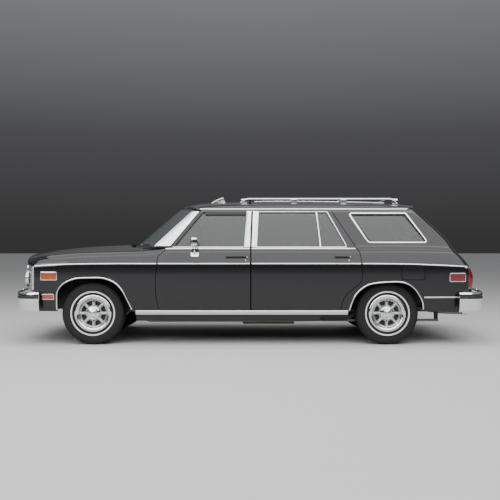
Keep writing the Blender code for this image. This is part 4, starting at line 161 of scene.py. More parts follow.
def tail_surface_x(y, z):
    start = side_y(tail_x(z) - TAIL_CORNER, z) - TAIL_CORNER
    y = abs(y)
    if y <= start:
        return tail_x(z) + TAIL_BOW * (start**2 - y**2) / HALF_WIDTH**2
    past = min(1.0, (y - start) / TAIL_CORNER)
    return tail_x(z) - TAIL_CORNER + TAIL_CORNER * math.sqrt(1 - past**2)


def tail(y, z):
    """The tail's surface at y and height z."""
    return Vector((tail_surface_x(y, z), y, z))


# Making meshes


def linked(name, data):
    """A new object in the scene for a mesh, a lamp or a lens."""
    made = bpy.data.objects.new(name, data)
    bpy.context.scene.collection.objects.link(made)
    return made


def piece(name, bm):
    """Turns a bmesh into an object at the origin."""
    mesh = bpy.data.meshes.new(name)
    bm.to_mesh(mesh)
    bm.free()
    return linked(name, mesh)


def fresh_grid(us, vs):
    """A flat grid with a vertex for each (u, v)."""
    bm = bmesh.new()
    bmesh.ops.create_grid(bm, x_segments=len(us) - 1, y_segments=len(vs) - 1, size=0.5)
    return bm


def grid_place(vert, us, vs):
    """The (u, v) that a vertex of a flat grid stands for."""
    return us[round((vert.co.x + 0.5) * (len(us) - 1))], vs[round((vert.co.y + 0.5) * (len(vs) - 1))]


def extruded(bm, way):
    """Extrudes all faces of a bmesh by a vector."""
    grown = bmesh.ops.extrude_face_region(bm, geom=list(bm.faces))["geom"]
    bmesh.ops.translate(bm, vec=way, verts=[part for part in grown if isinstance(part, bmesh.types.BMVert)])


def sheet(name, us, vs, point, closed=False):
    """A surface whose point at (u, v) is given by a function; closed joins the last v to the first."""
    bm = fresh_grid(us, vs)
    for vert in bm.verts:
        vert.co = point(*grid_place(vert, us, vs))
    if closed:
        bmesh.ops.remove_doubles(bm, verts=bm.verts, dist=SAME_PLACE)
        bmesh.ops.holes_fill(bm, edges=bm.edges, sides=0)
        bmesh.ops.recalc_face_normals(bm, faces=bm.faces)
    return piece(name, bm)


def solid(name, us, vs, point, push):
    """A panel between a surface and its copy, which push(u, v) moves inwards."""
    bm = fresh_grid(us, vs)
    extruded(bm, (0, 0, 1))
    for vert in bm.verts:
        place = grid_place(vert, us, vs)
        vert.co = point(*place) + (push(*place) if vert.co.z > 0.5 else Vector())
    bmesh.ops.recalc_face_normals(bm, faces=bm.faces)
    return piece(name, bm)


def inward(distance):
    """A push towards the car's middle for every point of a panel on the left side."""
    return lambda u, v: Vector((0, distance, 0))


def backward(distance):
    """A push towards the tail for every point of a panel in front."""
    return lambda u, v: Vector((distance, 0, 0))


def applied(body):
    """Applies a body's modifiers to its mesh."""
    bpy.context.view_layer.update()
    mesh = bpy.data.meshes.new_from_object(body.evaluated_get(bpy.context.evaluated_depsgraph_get()))
    body.modifiers.clear()
    body.data = mesh
    return body


def modified(body, kind, **settings):
    made = body.modifiers.new(kind.lower(), kind)
    for setting, value in settings.items():
        setattr(made, setting, value)
    return applied(body)


def walled(body, thickness):
    """Gives a surface its thickness, inwards."""
    return modified(body, "SOLIDIFY", thickness=thickness, offset=-1.0, use_even_offset=True)


def combined(body, operation, *tools):
    for tool in tools:
        modified(body, "BOOLEAN", operation=operation, object=tool, solver="EXACT")
        bpy.data.objects.remove(tool)
    return body


def cut(body, *tools):
    return combined(body, "DIFFERENCE", *tools)


def keep(body, tool):
    return combined(body, "INTERSECT", tool)


def join(body, *tools):
    return combined(body, "UNION", *tools)


PRISM_PLACES = {
    "X": lambda a, b, reach: (reach, a, b),
    "Y": lambda a, b, reach: (a, reach, b),
    "Z": lambda a, b, reach: (a, b, reach),
}


def prism(outline, low, high, axis="Y"):
    """An outline of (x, z) for Y, (y, z) for X or (x, y) for Z, extruded between low and high."""
    place = PRISM_PLACES[axis]
    bm = bmesh.new()
    loop = [bm.verts.new(place(a, b, low)) for a, b in outline]
    bm.faces.new(loop)
    extruded(bm, Vector(place(0, 0, high - low)))
    if len(bm.faces) == len(loop) + 1:
        bmesh.ops.holes_fill(bm, edges=bm.edges, sides=0)
    bmesh.ops.recalc_face_normals(bm, faces=bm.faces)
    return piece("prism", bm)


def bevelled(bm, edges, width, segments):
    bmesh.ops.bevel(bm, geom=edges, offset=width, segments=segments, profile=0.5, affect="EDGES", material=-1)


def cube(bm, low, high):
    """Adds a box between two corners to a bmesh."""
    low, high = Vector(low), Vector(high)
    verts = bmesh.ops.create_cube(bm, size=1.0)["verts"]
    bmesh.ops.scale(bm, vec=high - low, verts=verts)
    bmesh.ops.translate(bm, vec=(low + high) / 2, verts=verts)


def block(name, low, high, bevel=0.0, segments=3):
    """A box between two corners with rounded edges."""
    bm = bmesh.new()
    cube(bm, low, high)
    if bevel:
        bevelled(bm, list(bm.edges), bevel, segments)
    return piece(name, bm)


TURNS = {"X": Matrix.Rotation(math.pi / 2, 4, "Y"), "Y": Matrix.Rotation(-math.pi / 2, 4, "X"), "Z": Matrix()}


def rod(name, centre, radius, length, axis="Y", sides=32, far_radius=None, bevel=0.0):
    bm = bmesh.new()
    end = radius if far_radius is None else far_radius
    bmesh.ops.create_cone(bm, cap_ends=True, segments=sides, radius1=radius, radius2=end, depth=length)
    if bevel:
        rims = [edge for edge in bm.edges if abs(edge.verts[0].co.z - edge.verts[1].co.z) < length / 2]
        bevelled(bm, rims, bevel, 3)
    bmesh.ops.transform(bm, matrix=Matrix.Translation(centre) @ TURNS[axis], verts=bm.verts)
    return piece(name, bm)


def turned(name, profile, centre, steps=96, axis="Y"):
    """A closed profile of (distance along the axis, radius) turned about the axis through the centre."""
    bm = bmesh.new()
    points = [bm.verts.new((radius, 0.0, reach)) for reach, radius in profile]
    edges = [bm.edges.new(pair) for pair in zip(points, points[1:] + points[:1])]
    bmesh.ops.spin(bm, geom=points + edges, axis=(0, 0, 1), angle=math.tau, steps=steps, use_merge=True)
    bmesh.ops.remove_doubles(bm, verts=bm.verts, dist=SAME_PLACE)
    bmesh.ops.delete(bm, geom=[edge for edge in bm.edges if not edge.link_faces], context="EDGES")
    bmesh.ops.recalc_face_normals(bm, faces=bm.faces)
    bmesh.ops.transform(bm, matrix=Matrix.Translation(centre) @ TURNS[axis], verts=bm.verts)
    return piece(name, bm)


def smoothed(points, count, closed=False):
    """A line through control points, evenly sampled on a smooth curve."""
    points = [Vector(p) for p in points]
    if closed:
        points = points[-2:] + points + points[:3]
    knots = [0.0]
    for a, b in zip(points, points[1:]):
        knots.append(knots[-1] + (b - a).length)
    low, high = (knots[2], knots[-3]) if closed else (knots[0], knots[-1])
    marks = spread(low, high, count + 1)[:-1] if closed else spread(low, high, count)
    size = len(points[0])
    return [Vector([along(mark, knots, [p[k] for p in points]) for k in range(size)]) for mark in marks]


def rounded(corners, steps=7):
    """An outline from corners (a, b, radius), each corner of some radius becoming an arc."""
    points = []
    for i, (a, b, radius) in enumerate(corners):
        here = Vector((a, b))
        if not radius:
            points.append(here)
            continue
        back = (Vector(corners[i - 1][:2]) - here).normalized()
        ahead = (Vector(corners[(i + 1) % len(corners)][:2]) - here).normalized()
        half = back.angle(ahead) / 2
        centre = here + (back + ahead).normalized() * radius / math.sin(half)
        first = here + back * radius / math.tan(half) - centre
        turn = first.angle_signed(here + ahead * radius / math.tan(half) - centre)
        points += [centre + Matrix.Rotation(-turn * k / steps, 2) @ first for k in range(steps + 1)]
    return points


def frame_of(low_x, low_z, high_x, high_z, corner, steps=4):
    """A rectangle with rounded corners."""
    places = ((low_x, low_z), (high_x, low_z), (high_x, high_z), (low_x, high_z))
    return rounded([(*place, corner) for place in places], steps)


def finer(outline, step=0.04):
    """An outline with points added along its straight runs."""
    points = []
    for (x0, z0), (x1, z1) in zip(outline, outline[1:] + outline[:1]):
        count = max(1, round(math.hypot(x1 - x0, z1 - z0) / step))
        points += [(between(x0, x1, k / count), between(z0, z1, k / count)) for k in range(count)]
    return points


def divided(loop, step):
    """A closed line of vectors with points added along its longer runs."""
    points = []
    for here, there in zip(loop, loop[1:] + loop[:1]):
        steps = max(1, int((there - here).length / step))
        points += [here.lerp(there, k / steps) for k in range(steps)]
    return points


def strip(name, path, profile, surface, closed=False):
    """A moulding that follows a path of (a, b) on a surface, its profile being (across, out) points."""
    line = [Vector(p) for p in path]
    count = len(line)
    rails = []
    for i, (a, b) in enumerate(line):
        here = surface(a, b)
        across_a = surface(a + 0.002, b) - here
        across_b = surface(a, b + 0.002) - here
        out = across_a.cross(across_b).normalized()
        before = line[i - 1] if closed else line[max(i - 1, 0)]
        after = line[(i + 1) % count] if closed else line[min(i + 1, count - 1)]
        way = (surface(*after) - surface(*before)).normalized()
        rails.append((here, out.cross(way).normalized(), out))

    def point(u, v):
        here, across, out = rails[u % count]
        reach, height = profile[v % len(profile)]
        return here + across * reach + out * height

    us = list(range(count + 1 if closed else count))
    return sheet(name, us, list(range(len(profile) + 1)), point, closed=True)


def bead(width, height, sink=0.002, steps=6):
    """Section of a moulding with a rounded face, sunk a little into what it sits on."""
    arc = []
    for k in range(steps + 1):
        turn = math.pi * k / steps
        arc.append((width / 2 * math.cos(turn), height * math.sin(turn) ** 0.7))
    return arc + [(-width / 2, -sink), (width / 2, -sink)]


def twin(body, name):
    """A mirror image of a left-hand piece."""
    mesh = body.data.copy()
    mesh.transform(Matrix.Diagonal((1, -1, 1, 1)))
    mesh.flip_normals()
    return linked(name, mesh)


def dress(body, finish, rides="body", replaces=(), angle=32):
    """Gives a piece its finish and smooth shading, hangs it on the body it rides on and hides the nodes it
    stands for.
    """
    body.data.materials.clear()
    body.data.materials.append(finish[0])
    for face in body.data.polygons:
        face.use_smooth = True
    body.data.set_sharp_from_angle(angle=math.radians(angle))
    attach(body, rides)
    if replaces:
        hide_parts(*replaces)
    return body


def both(body, finish, rides="body", replaces=(), angle=32):
    """Dresses a left-hand piece and its mirror image."""
    right = twin(body, body.name.replace("left", "right"))
    dress(body, finish, rides, replaces, angle)
    others = [node.replace("left", "right") for node in replaces]
    dress(right, finish, rides.replace("left", "right"), others, angle)
    return body, right


# Finishes


class Value:
    """A shader value that takes part in sums."""

    def __init__(self, tree, socket):
        self.tree, self.socket = tree, socket

    def sum_with(self, operation, *others, first=None):
        node = self.tree.nodes.new("ShaderNodeMath")
        node.operation = operation
        terms = ([first] if first is not None else []) + [self, *others]
        for slot, term in zip(node.inputs, terms):
            if isinstance(term, Value):
                self.tree.links.new(term.socket, slot)
            else:
                slot.default_value = term
        return Value(self.tree, node.outputs[0])

    def __add__(self, other):
        return self.sum_with("ADD", other)

    def __radd__(self, other):
        return self.sum_with("ADD", other)

    def __sub__(self, other):
        return self.sum_with("SUBTRACT", other)

    def __rsub__(self, other):
        return self.sum_with("SUBTRACT", first=other)

    def __mul__(self, other):
        return self.sum_with("MULTIPLY", other)

    def __rmul__(self, other):
        return self.sum_with("MULTIPLY", other)

    def __truediv__(self, other):
        return self.sum_with("DIVIDE", other)

    def __pow__(self, other):
        return self.sum_with("POWER", other)

    def over(self, edge):
        return self.sum_with("GREATER_THAN", edge)

    def wave(self):
        return self.sum_with("SINE")

    def clamped(self):
        return self.sum_with("MAXIMUM", 0.0).sum_with("MINIMUM", 1.0)


class Finish:
    """A material with the record slot that it belongs to, built up node by node."""

    def __init__(self, name, slot, colour, roughness, metallic=0.0, **fixed):
        self.made = bpy.data.materials.new(name)
        self.made.use_nodes = True
        self.tree = self.made.node_tree
        self.shader = self.tree.nodes["Principled BSDF"]
        self.slot = slot
        self.shader.inputs["Base Color"].default_value = (*colour, 1.0)
        self.shader.inputs["Roughness"].default_value = roughness
        self.shader.inputs["Metallic"].default_value = metallic
        for socket, value in fixed.items():
            self.shader.inputs[socket.replace("_", " ")].default_value = value
        self.coordinates = self.node("ShaderNodeTexCoord").outputs["Object"]
        self.made.diffuse_color = (*colour, 1.0)

    def __getitem__(self, index):
        return (self.made, self.slot)[index]

    def node(self, kind, settings=None, **sockets):
        made = self.tree.nodes.new(kind)
        for setting, value in (settings or {}).items():
            setattr(made, setting, value)
        for socket, value in sockets.items():
            self.feed(made.inputs[socket.replace("_", " ")], value)
        return made

    def feed(self, socket, value):
        if isinstance(value, Value):
            value = value.socket
        if isinstance(value, bpy.types.NodeSocket):
            self.tree.links.new(value, socket)
        else:
            socket.default_value = value

    def drive(self, socket, value):
        self.feed(self.shader.inputs[socket], value)
        return self

    def placed(self, scale=(1, 1, 1), turn=(0, 0, 0)):
        mapping = self.node("ShaderNodeMapping", Vector=self.coordinates, Scale=scale, Rotation=turn)
        return mapping.outputs["Vector"]

    def axis(self, name):
        """The X, Y or Z of the surface's place in the car."""
        split = self.node("ShaderNodeSeparateXYZ", Vector=self.coordinates)
        return Value(self.tree, split.outputs[name])

    def noise(self, scale, detail=3.0, stretch=(1, 1, 1), roughness=0.5):
        made = self.node("ShaderNodeTexNoise", Vector=self.placed(stretch), Scale=scale, Detail=detail,
                         Roughness=roughness)
        return Value(self.tree, made.outputs["Fac"])

    def cells(self, scale, feature="F1", stretch=(1, 1, 1)):
        settings = {"feature": feature}
        made = self.node("ShaderNodeTexVoronoi", settings, Vector=self.placed(stretch), Scale=scale)
        return Value(self.tree, made.outputs["Distance"])

    def between(self, share, low, high):
        mixed = self.node("ShaderNodeMix", {"data_type": "RGBA"})
        self.feed(mixed.inputs["Factor"], share)
        for socket, colour in ((mixed.inputs[6], low), (mixed.inputs[7], high)):
            self.feed(socket, colour if isinstance(colour, bpy.types.NodeSocket) else (*colour, 1.0))
        return mixed.outputs[2]

    def edge(self):
        """1 where the surface looks along the line of sight, 0 where it faces it."""
        made = self.node("ShaderNodeLayerWeight", Blend=0.35)
        return Value(self.tree, made.outputs["Facing"])

    def bump(self, height, distance, strength=1.0):
        made = self.node("ShaderNodeBump", Height=height, Distance=distance, Strength=strength)
        return self.drive("Normal", made.outputs["Normal"])


def black_paint():
    made = Finish("black_paint", "black_paint", (0.010, 0.010, 0.012), 0.16, Specular_IOR_Level=0.05,
                  Coat_Weight=0.85, Coat_Roughness=0.03)
    dust = made.noise(7.0, 6.0) * 0.5 + made.noise(90.0, 2.0) * 0.3
    # Below z 0.62 the paint grows rougher and its colour lighter towards the bottom where dust lies: partly
    # dust, partly a painted reflection on the lower body.
    low = ((0.62 - made.axis("Z")) * 1.8).clamped()
    made.drive("Roughness", 0.10 + dust * 0.10 + low * dust * 0.22)
    dust_and_painted_reflection = (low * dust * 0.30).clamped()
    made.drive("Base Color", made.between(dust_and_painted_reflection, (0.009, 0.009, 0.011), (0.070, 0.066, 0.060)))
    return made.bump(made.noise(420.0, 1.0), 0.00006, 0.35)


def jamb_paint():
    made = Finish("jamb_paint", "black_paint", (0.020, 0.020, 0.022), 0.35)
    return made.drive("Roughness", 0.30 + made.noise(40.0) * 0.2)


def chrome():
    made = Finish("chrome", "chrome", (0.78, 0.79, 0.80), 0.06, 1.0)
    haze = made.noise(14.0, 6.0)
    made.drive("Roughness", 0.04 + haze ** 2.0 * 0.16)
    return made.drive("Base Color", made.between(haze, (0.84, 0.85, 0.86), (0.66, 0.67, 0.69)))


def satin_trim():
    made = Finish("satin_trim", "chrome", (0.72, 0.72, 0.73), 0.28, 1.0)
    grain = made.noise(160.0, 3.0, (0.02, 1, 1))
    made.drive("Roughness", 0.20 + grain * 0.18)
    return made.bump(grain, 0.00008, 0.5)


def bright_alloy():
    made = Finish("bright_alloy", "chrome", (0.86, 0.86, 0.85), 0.45, 0.35)
    grain = made.noise(120.0, 3.0, (1, 0.03, 1))
    made.drive("Roughness", 0.38 + grain * 0.16)
    return made.drive("Base Color", made.between(grain, (0.90, 0.90, 0.89), (0.78, 0.78, 0.78)))


def window_glass():
    made = Finish("window_glass", "tinted_glass", (0.044, 0.055, 0.052), 0.02, Specular_IOR_Level=0.75)
    made.drive("Alpha", (0.60 + made.edge() ** 3.0 * 0.35).clamped())
    made.drive("Roughness", 0.20 + made.noise(3.0) * 0.05)
    made.made.surface_render_method = "BLENDED"
    return made


def clear_lens():
    made = Finish("clear_lens", "chrome", (0.60, 0.62, 0.62), 0.14, 0.85, Coat_Weight=1.0)
    ribs = (made.axis("Y") * 900.0).wave() * 0.5 + (made.axis("Z") * 500.0).wave() * 0.3
    shade = (ribs * 0.5 + 0.5).clamped()
    made.drive("Base Color", made.between(shade, (0.74, 0.76, 0.76), (0.34, 0.36, 0.37)))
    return made.bump(ribs, 0.0010, 0.7)


def coloured_lens(name, bright, deep, slot="red_lens"):
    made = Finish(name, slot, bright, 0.10, Coat_Weight=1.0)
    cells = made.cells(260.0)
    made.drive("Base Color", made.between((cells * 1.6).clamped(), bright, deep))
    return made.bump(cells, 0.0008, 0.6)


def tyre_rubber():
    made = Finish("tyre_rubber", "tyre_rubber", (0.010, 0.010, 0.011), 0.72, Specular_IOR_Level=0.25)
    dust = made.noise(26.0, 6.0)
    made.drive("Base Color", made.between(dust * 0.6, (0.007, 0.007, 0.008), (0.030, 0.029, 0.027)))
    made.drive("Roughness", 0.60 + dust * 0.25)
    return made.bump(made.noise(500.0, 2.0), 0.0003, 0.4)


def white_band():
    made = Finish("white_band", "tyre_rubber", (0.70, 0.69, 0.66), 0.50)
    grime = made.noise(45.0, 5.0)
    made.drive("Base Color", made.between(grime ** 2.0, (0.76, 0.75, 0.72), (0.42, 0.40, 0.36)))
    return made.drive("Roughness", 0.42 + grime * 0.2)


def silver_rim():
    made = Finish("silver_rim", "silver_rim", (0.42, 0.43, 0.45), 0.28, 0.9)
    dust = made.noise(30.0, 5.0)
    made.drive("Roughness", 0.20 + dust * 0.22)
    return made.drive("Base Color", made.between(dust, (0.50, 0.51, 0.53), (0.26, 0.26, 0.26)))


def underseal():
    made = Finish("underseal", "dark_steel", (0.035, 0.035, 0.037), 0.70, 0.1)
    lumps = made.noise(60.0, 5.0)
    made.drive("Base Color", made.between(lumps, (0.010, 0.010, 0.011), (0.046, 0.042, 0.037)))
    made.drive("Roughness", 0.60 + lumps * 0.3)
    return made.bump(lumps, 0.0020, 0.5)


def bare_steel():
    made = Finish("bare_steel", "dark_steel", (0.20, 0.19, 0.18), 0.50, 0.85)
    rust = made.noise(34.0, 7.0)
    made.drive("Base Color", made.between(rust ** 2.0, (0.24, 0.24, 0.24), (0.19, 0.10, 0.055)))
    made.drive("Metallic", 0.9 - rust * 0.5)
    made.drive("Roughness", 0.35 + rust * 0.4)
    return made.bump(rust, 0.0006, 0.5)


def black_vinyl():
    made = Finish("black_vinyl", "black_vinyl", (0.022, 0.022, 0.024), 0.50)
    grain = made.cells(420.0)
    wear = made.noise(9.0, 4.0)
    made.drive("Base Color", made.between(wear * 0.8, (0.018, 0.018, 0.020), (0.048, 0.046, 0.045)))
    made.drive("Roughness", 0.46 + grain * 0.12 + wear * 0.12)
    return made.bump(grain + wear * 0.2, 0.0002, 0.25)


def carpet():
    made = Finish("carpet", "black_vinyl", (0.030, 0.030, 0.031), 0.95)
    pile = made.noise(700.0, 2.0)
    made.drive("Base Color", made.between(pile, (0.018, 0.018, 0.019), (0.050, 0.049, 0.047)))
    return made.bump(pile, 0.0010, 0.3)


def headliner():
    made = Finish("headliner", "black_vinyl", (0.42, 0.41, 0.39), 0.80)
    holes = made.cells(160.0)
    made.drive("Base Color", made.between(holes.over(0.12), (0.12, 0.12, 0.11), (0.46, 0.45, 0.43)))
    return made.bump(holes, 0.0005, 0.5)


def black_plastic():
    made = Finish("black_plastic", "black_plastic", (0.018, 0.018, 0.020), 0.45)
    grain = made.noise(300.0, 3.0)
    made.drive("Roughness", 0.35 + grain * 0.25)
    return made.bump(grain, 0.0003, 0.5)


def black_rubber():
    made = Finish("black_rubber", "black_plastic", (0.014, 0.014, 0.014), 0.65)
    return made.drive("Roughness", 0.55 + made.noise(80.0) * 0.2)


def dial_face():
    """Dark gauge faces with pale rings of marks round their rims."""
    made = Finish("dial_face", "black_plastic", (0.02, 0.02, 0.022), 0.35)
    marks = made.cells(180.0)
    return made.drive("Base Color", made.between(marks.over(0.30), (0.015, 0.015, 0.017), (0.50, 0.50, 0.48)))


PAINT, JAMB, CHROME, SATIN, GLASS = black_paint(), jamb_paint(), chrome(), satin_trim(), window_glass()
LENS, TYRE, WHITE, SILVER = clear_lens(), tyre_rubber(), white_band(), silver_rim()
UNDERSEAL, STEEL, ALLOY = underseal(), bare_steel(), bright_alloy()
RED = coloured_lens("red_lens", (0.27, 0.008, 0.014), (0.12, 0.002, 0.005))
DIAL = dial_face()
AMBER = coloured_lens("amber_lens", (0.42, 0.085, 0.022), (0.26, 0.036, 0.009))
VINYL, CARPET, LINER, PLASTIC, RUBBER = black_vinyl(), carpet(), headliner(), black_plastic(), black_rubber()


# Outlines in side view
DOOR_BOW, DOOR_TURN_Z = 0.015, 0.905
FRONT_EDGE_SHARES = ((-1.00, 0.00), (0.40, 0.25), (1.00, 0.55), (0.00, 1.00))
PILLAR_FOOT_X, PILLAR_TOP_X, DOOR_TOP_Z = -0.812, -0.505, RAIL_Z - GAP
REAR_TOP_X, REAR_BELT_X, REAR_FOOT_X, REAR_TURN_Z = 0.835, 1.086, 0.918, 0.680
REAR_EDGE_SHARES = ((1.00, 1.00), (0.92, 0.86), (0.62, 0.70), (0.30, 0.52), (0.12, 0.34), (0.0, 0.0))
FRONT_AXLE_X, REAR_AXLE_X, AXLE_Z, WHEEL_Y = -1.606, 1.404, 0.320, 0.755
ARCH_FOOT_Z = 0.180
FRONT_ARCH = {"x": FRONT_AXLE_X, "ahead": 0.351, "behind": 0.392, "top": 0.680, "shares": (
    (-1.00, -0.30), (-1.00, 0.66), (-0.93, 0.80), (-0.76, 0.91), (-0.48, 0.99), (0.00, 1.01),
    (0.32, 1.00), (0.58, 0.92), (0.76, 0.79), (0.90, 0.60), (1.10, 0.22), (1.28, -0.30))}
REAR_ARCH = {"x": REAR_AXLE_X, "ahead": 0.400, "behind": 0.346, "top": 0.642, "shares": (
    (-1.16, -0.30), (-0.96, 0.44), (-0.86, 0.68), (-0.70, 0.84), (-0.48, 0.95), (0.00, 1.00),
    (0.42, 0.99), (0.66, 0.91), (0.84, 0.77), (0.99, 0.56), (1.02, 0.36), (1.02, -0.30))}
FAR_OUT, SIDE_IN = -1.300, -0.300
TAIL_IN, TAIL_OUT = 1.400, 2.500
OPEN = 0.200


def side_cutter(outline):
    """An outline of (x, z), extruded through the left side."""
    return prism(outline, FAR_OUT, SIDE_IN)


def tail_cutter(outline):
    """An outline of (y, z), extruded through the tail."""
    return prism(outline, TAIL_IN, TAIL_OUT, "X")


def shifted(line, distance):
    """A line of points moved sideways, to the left of its direction."""
    moved = []
    for i, (a, b) in enumerate(line):
        back = Vector((a, b)) - Vector(line[i - 1]) if i else None
        ahead = Vector(line[i + 1]) - Vector((a, b)) if i + 1 < len(line) else None
        ways = [way.normalized() for way in (back, ahead) if way is not None]
        middle = sum(ways, Vector((0, 0))).normalized()
        reach = distance / middle.dot(ways[0])
        moved.append((a - middle.y * reach, b + middle.x * reach))
    return moved


def arch(form, grow=0.0, count=60):
    """Opening of a wheel arch, from its front foot over the wheel to its rear foot."""
    points = []
    for along_x, up in form["shares"]:
        reach = (form["behind"] if along_x > 0 else form["ahead"]) + grow
        points.append((form["x"] + along_x * reach, between(ARCH_FOOT_Z, form["top"] + grow, up)))
    return smoothed(points, count)


def front_door_edge(gap=0.0):
    """Front edge of the front door, from its foot up the pillar."""
    low = []
    for bow, rise in FRONT_EDGE_SHARES:
        low.append((DOOR_FRONT_X - DOOR_BOW * bow, between(DOOR_FOOT_Z, CREASE_Z, rise)))
    low.append((DOOR_FRONT_X + DOOR_BOW * 0.5, DOOR_TURN_Z))
    return shifted([*smoothed(low, 24), (PILLAR_FOOT_X, WINDOW_FOOT_Z), (PILLAR_TOP_X, DOOR_TOP_Z)], gap)


def rear_door_edge(gap=0.0):
    """Rear edge of the rear door, from the top of its frame to its foot."""
    shoulder = (between(REAR_BELT_X, DOOR_REAR_X, 0.62), between(CREASE_Z, BELT_Z, 0.72))
    low = [shoulder, (DOOR_REAR_X, CREASE_Z)]
    for x_share, z_share in REAR_EDGE_SHARES:
        low.append((between(REAR_FOOT_X, DOOR_REAR_X, x_share), between(DOOR_FOOT_Z, REAR_TURN_Z, z_share)))
    return shifted([(REAR_TOP_X, DOOR_TOP_Z), (REAR_BELT_X, BELT_Z), *smoothed(low, 30)], gap)


def split_edge(offset):
    """The line between the two doors, from top to foot."""
    return [(DOOR_SPLIT_X + 0.017 + offset, DOOR_TOP_Z, 0.010), (DOOR_SPLIT_X + offset, BELT_Z, 0.0),
            (DOOR_SPLIT_X + offset, DOOR_FOOT_Z, 0.010)]


def square(points):
    return [(a, b, 0.0) for a, b in points]


def pillar_x(z):
    return between(PILLAR_FOOT_X, PILLAR_TOP_X, (z - WINDOW_FOOT_Z) / (DOOR_TOP_Z - WINDOW_FOOT_Z))


def front_window(shrink=0.0):
    low, high = WINDOW_FOOT_Z + shrink, WINDOW_TOP_Z - shrink
    slant = 0.0405 + shrink * 1.4
    return rounded([(pillar_x(low) + slant, low, 0.004), (pillar_x(high) + slant, high, 0.030),
                    (-0.034 - shrink, high, 0.015), (-0.066 - shrink, low, 0.004)])


def rear_window(shrink=0.0):
    low, high = WINDOW_FOOT_Z + shrink, WINDOW_TOP_Z - shrink
    return rounded([(0.072 + shrink, low, 0.004), (0.092 + shrink, high, 0.015),
                    (0.792 - shrink * 1.5, high, 0.015), (0.985 - shrink * 1.5, low, 0.015)])


def quarter_window(shrink=0.0):
    low, high = 1.052 + shrink, 1.340 - shrink
    lean = shrink * 1.3
    return rounded([(1.222 + lean, low, 0.050), (1.035 + lean, high, 0.017),
                    (1.610 - lean, high, 0.017), (1.815 - lean, low, 0.017)])


LOW_LINES = spread(0.0, 1.0, 13)
HIGH_LINES = spread(1.0, 2.0, 11)[1:]
GLASS_LINES = spread(2.0, 3.0, 13)


def on_side(x, v):
    y, z = side_line(x, v)
    return Vector((x, -y, z))


# Front fenders
FENDER_FRONT_X = -2.195
FENDER_WALL = 0.020


def fender_edge(x):
    """Half width and height of the fender's inner top edge."""
    y, z = section(x)[1][-1]
    wing = long_line(x, 4)
    return y - 0.024 * between(1.0, 0.35, wing), z + 0.024 * between(0.3, 0.1, wing)


def on_fender(x, v):
    if v <= 2:
        return on_side(x, v)
    y, z = fender_edge(x)
    return Vector((x, -y, z))


def fenders():
    us = spread(NOSE_X, -0.760, 90)
    body = walled(sheet("fender_panel_left", us, LOW_LINES + HIGH_LINES + [2.1], on_fender), FENDER_WALL)
    edge = front_door_edge(GAP)
    outline = [(FENDER_FRONT_X, 0.345), (edge[0][0], 0.345), *edge[1:], (FENDER_FRONT_X, edge[-1][1])]
    keep(body, side_cutter(outline))
    cut(body, side_cutter(arch(FRONT_ARCH)))
    bay = [(x, -fender_edge(x)[0]) for x in spread(-2.300, -0.940, 40)]
    cut(body, prism(bay + [(-0.940, SIDE_IN), (-2.300, SIDE_IN)], 0.860, ROOF_Z, "Z"))
    both(body, PAINT, "body", ["fender_left"])


# Doors
DOOR_WALL, FRAME_WALL, GLASS_WALL = 0.065, 0.030, 0.006


def on_glass(x, z):
    return Vector((x, -glass_y(x, z), z))


def door(name, low_x, high_x, outline, window, node):
    us = spread(low_x - 0.02, high_x + 0.02, 34)
    body = solid(name, us, LOW_LINES + HIGH_LINES, on_side, inward(DOOR_WALL))
    keep(body, side_cutter(outline))
    upper = solid("frame", us, spread(0.920, RAIL_Z, 16), on_glass, inward(FRAME_WALL))
    keep(upper, side_cutter(outline))
    cut(join(body, upper), side_cutter(window))
    both(body, PAINT, node, [node])


def pane(name, low_x, high_x, outline, node, rides):
    def inside(x, z):
        return Vector((x, -glass_y(x, z) + FRAME_WALL * 0.4, z))

    body = walled(sheet(name, spread(low_x, high_x, 24), spread(0.940, RAIL_Z, 16), inside), GLASS_WALL)
    keep(body, side_cutter(outline))
    both(body, GLASS, rides, [node])


def doors():
    front = rounded(square(front_door_edge()) + split_edge(-GAP))
    rear = rounded(list(reversed(split_edge(GAP))) + square(rear_door_edge()))
    spans = {"front": (DOOR_FRONT_X, DOOR_SPLIT_X), "rear": (DOOR_SPLIT_X, DOOR_REAR_X)}
    shapes = {"front": (front, front_window), "rear": (rear, rear_window)}
    for name, (outline, window) in shapes.items():
        door(name + "_door_panel_left", *spans[name], outline, window(), name + "_door_left")
    for name, (_, window) in shapes.items():
        pane(name + "_pane_left", *spans[name], window(TINY), name + "_glass_left", name + "_door_left")
    pane("quarter_pane_left", DOOR_REAR_X - 0.1, 1.850, quarter_window(TINY), "quarter_glass_left", "body")


# Quarters, wrapped round the tail's corners
QUARTER_WALL, QUARTER_FOOT_Z = 0.030, 0.342
LAMP_LOW, LAMP_HIGH, LAMP_IN_Y, LAMP_FRONT_X = 0.580, 0.792, 0.802, 2.222
GATE_SIDES = ((0.775, 0.585), (0.790, 0.700), (0.785, 0.830), (0.745, 0.985), (0.670, 1.383))
GATE_FOOT_Z, GATE_TOP_Z = 0.585, 1.383
FUEL_GAP, FUEL_DEPTH = 0.0055, 0.024
FUEL = {"x": 1.653, "z": 0.742, "length": 0.232, "height": 0.142, "corner": 0.024}
corner_starts = {}


def corner_start(v):
    """Where a line of the side ends at the tail's corner."""
    if v not in corner_starts:
        x = TAIL_X
        for _ in range(12):
            x = tail_x(side_line(x, v)[1]) - TAIL_CORNER
        corner_starts[v] = x
    return corner_starts[v]


def on_quarter(u, v):
    """u runs from 0 to 1 along the side, to 2 round the corner and to 3 in towards the tailgate."""
    end = corner_start(v)
    if u <= 1:
        return on_side(between(0.700, end, u), v)
    y, z = side_line(end, v)
    if u <= 2:
        turn = (u - 1) * math.pi / 2
        return Vector((end + TAIL_CORNER * math.sin(turn), -(y - TAIL_CORNER * (1 - math.cos(turn))), z))
    y = between(y - TAIL_CORNER, 0.560, u - 2)
    return Vector((tail_surface_x(y, z), -y, z))


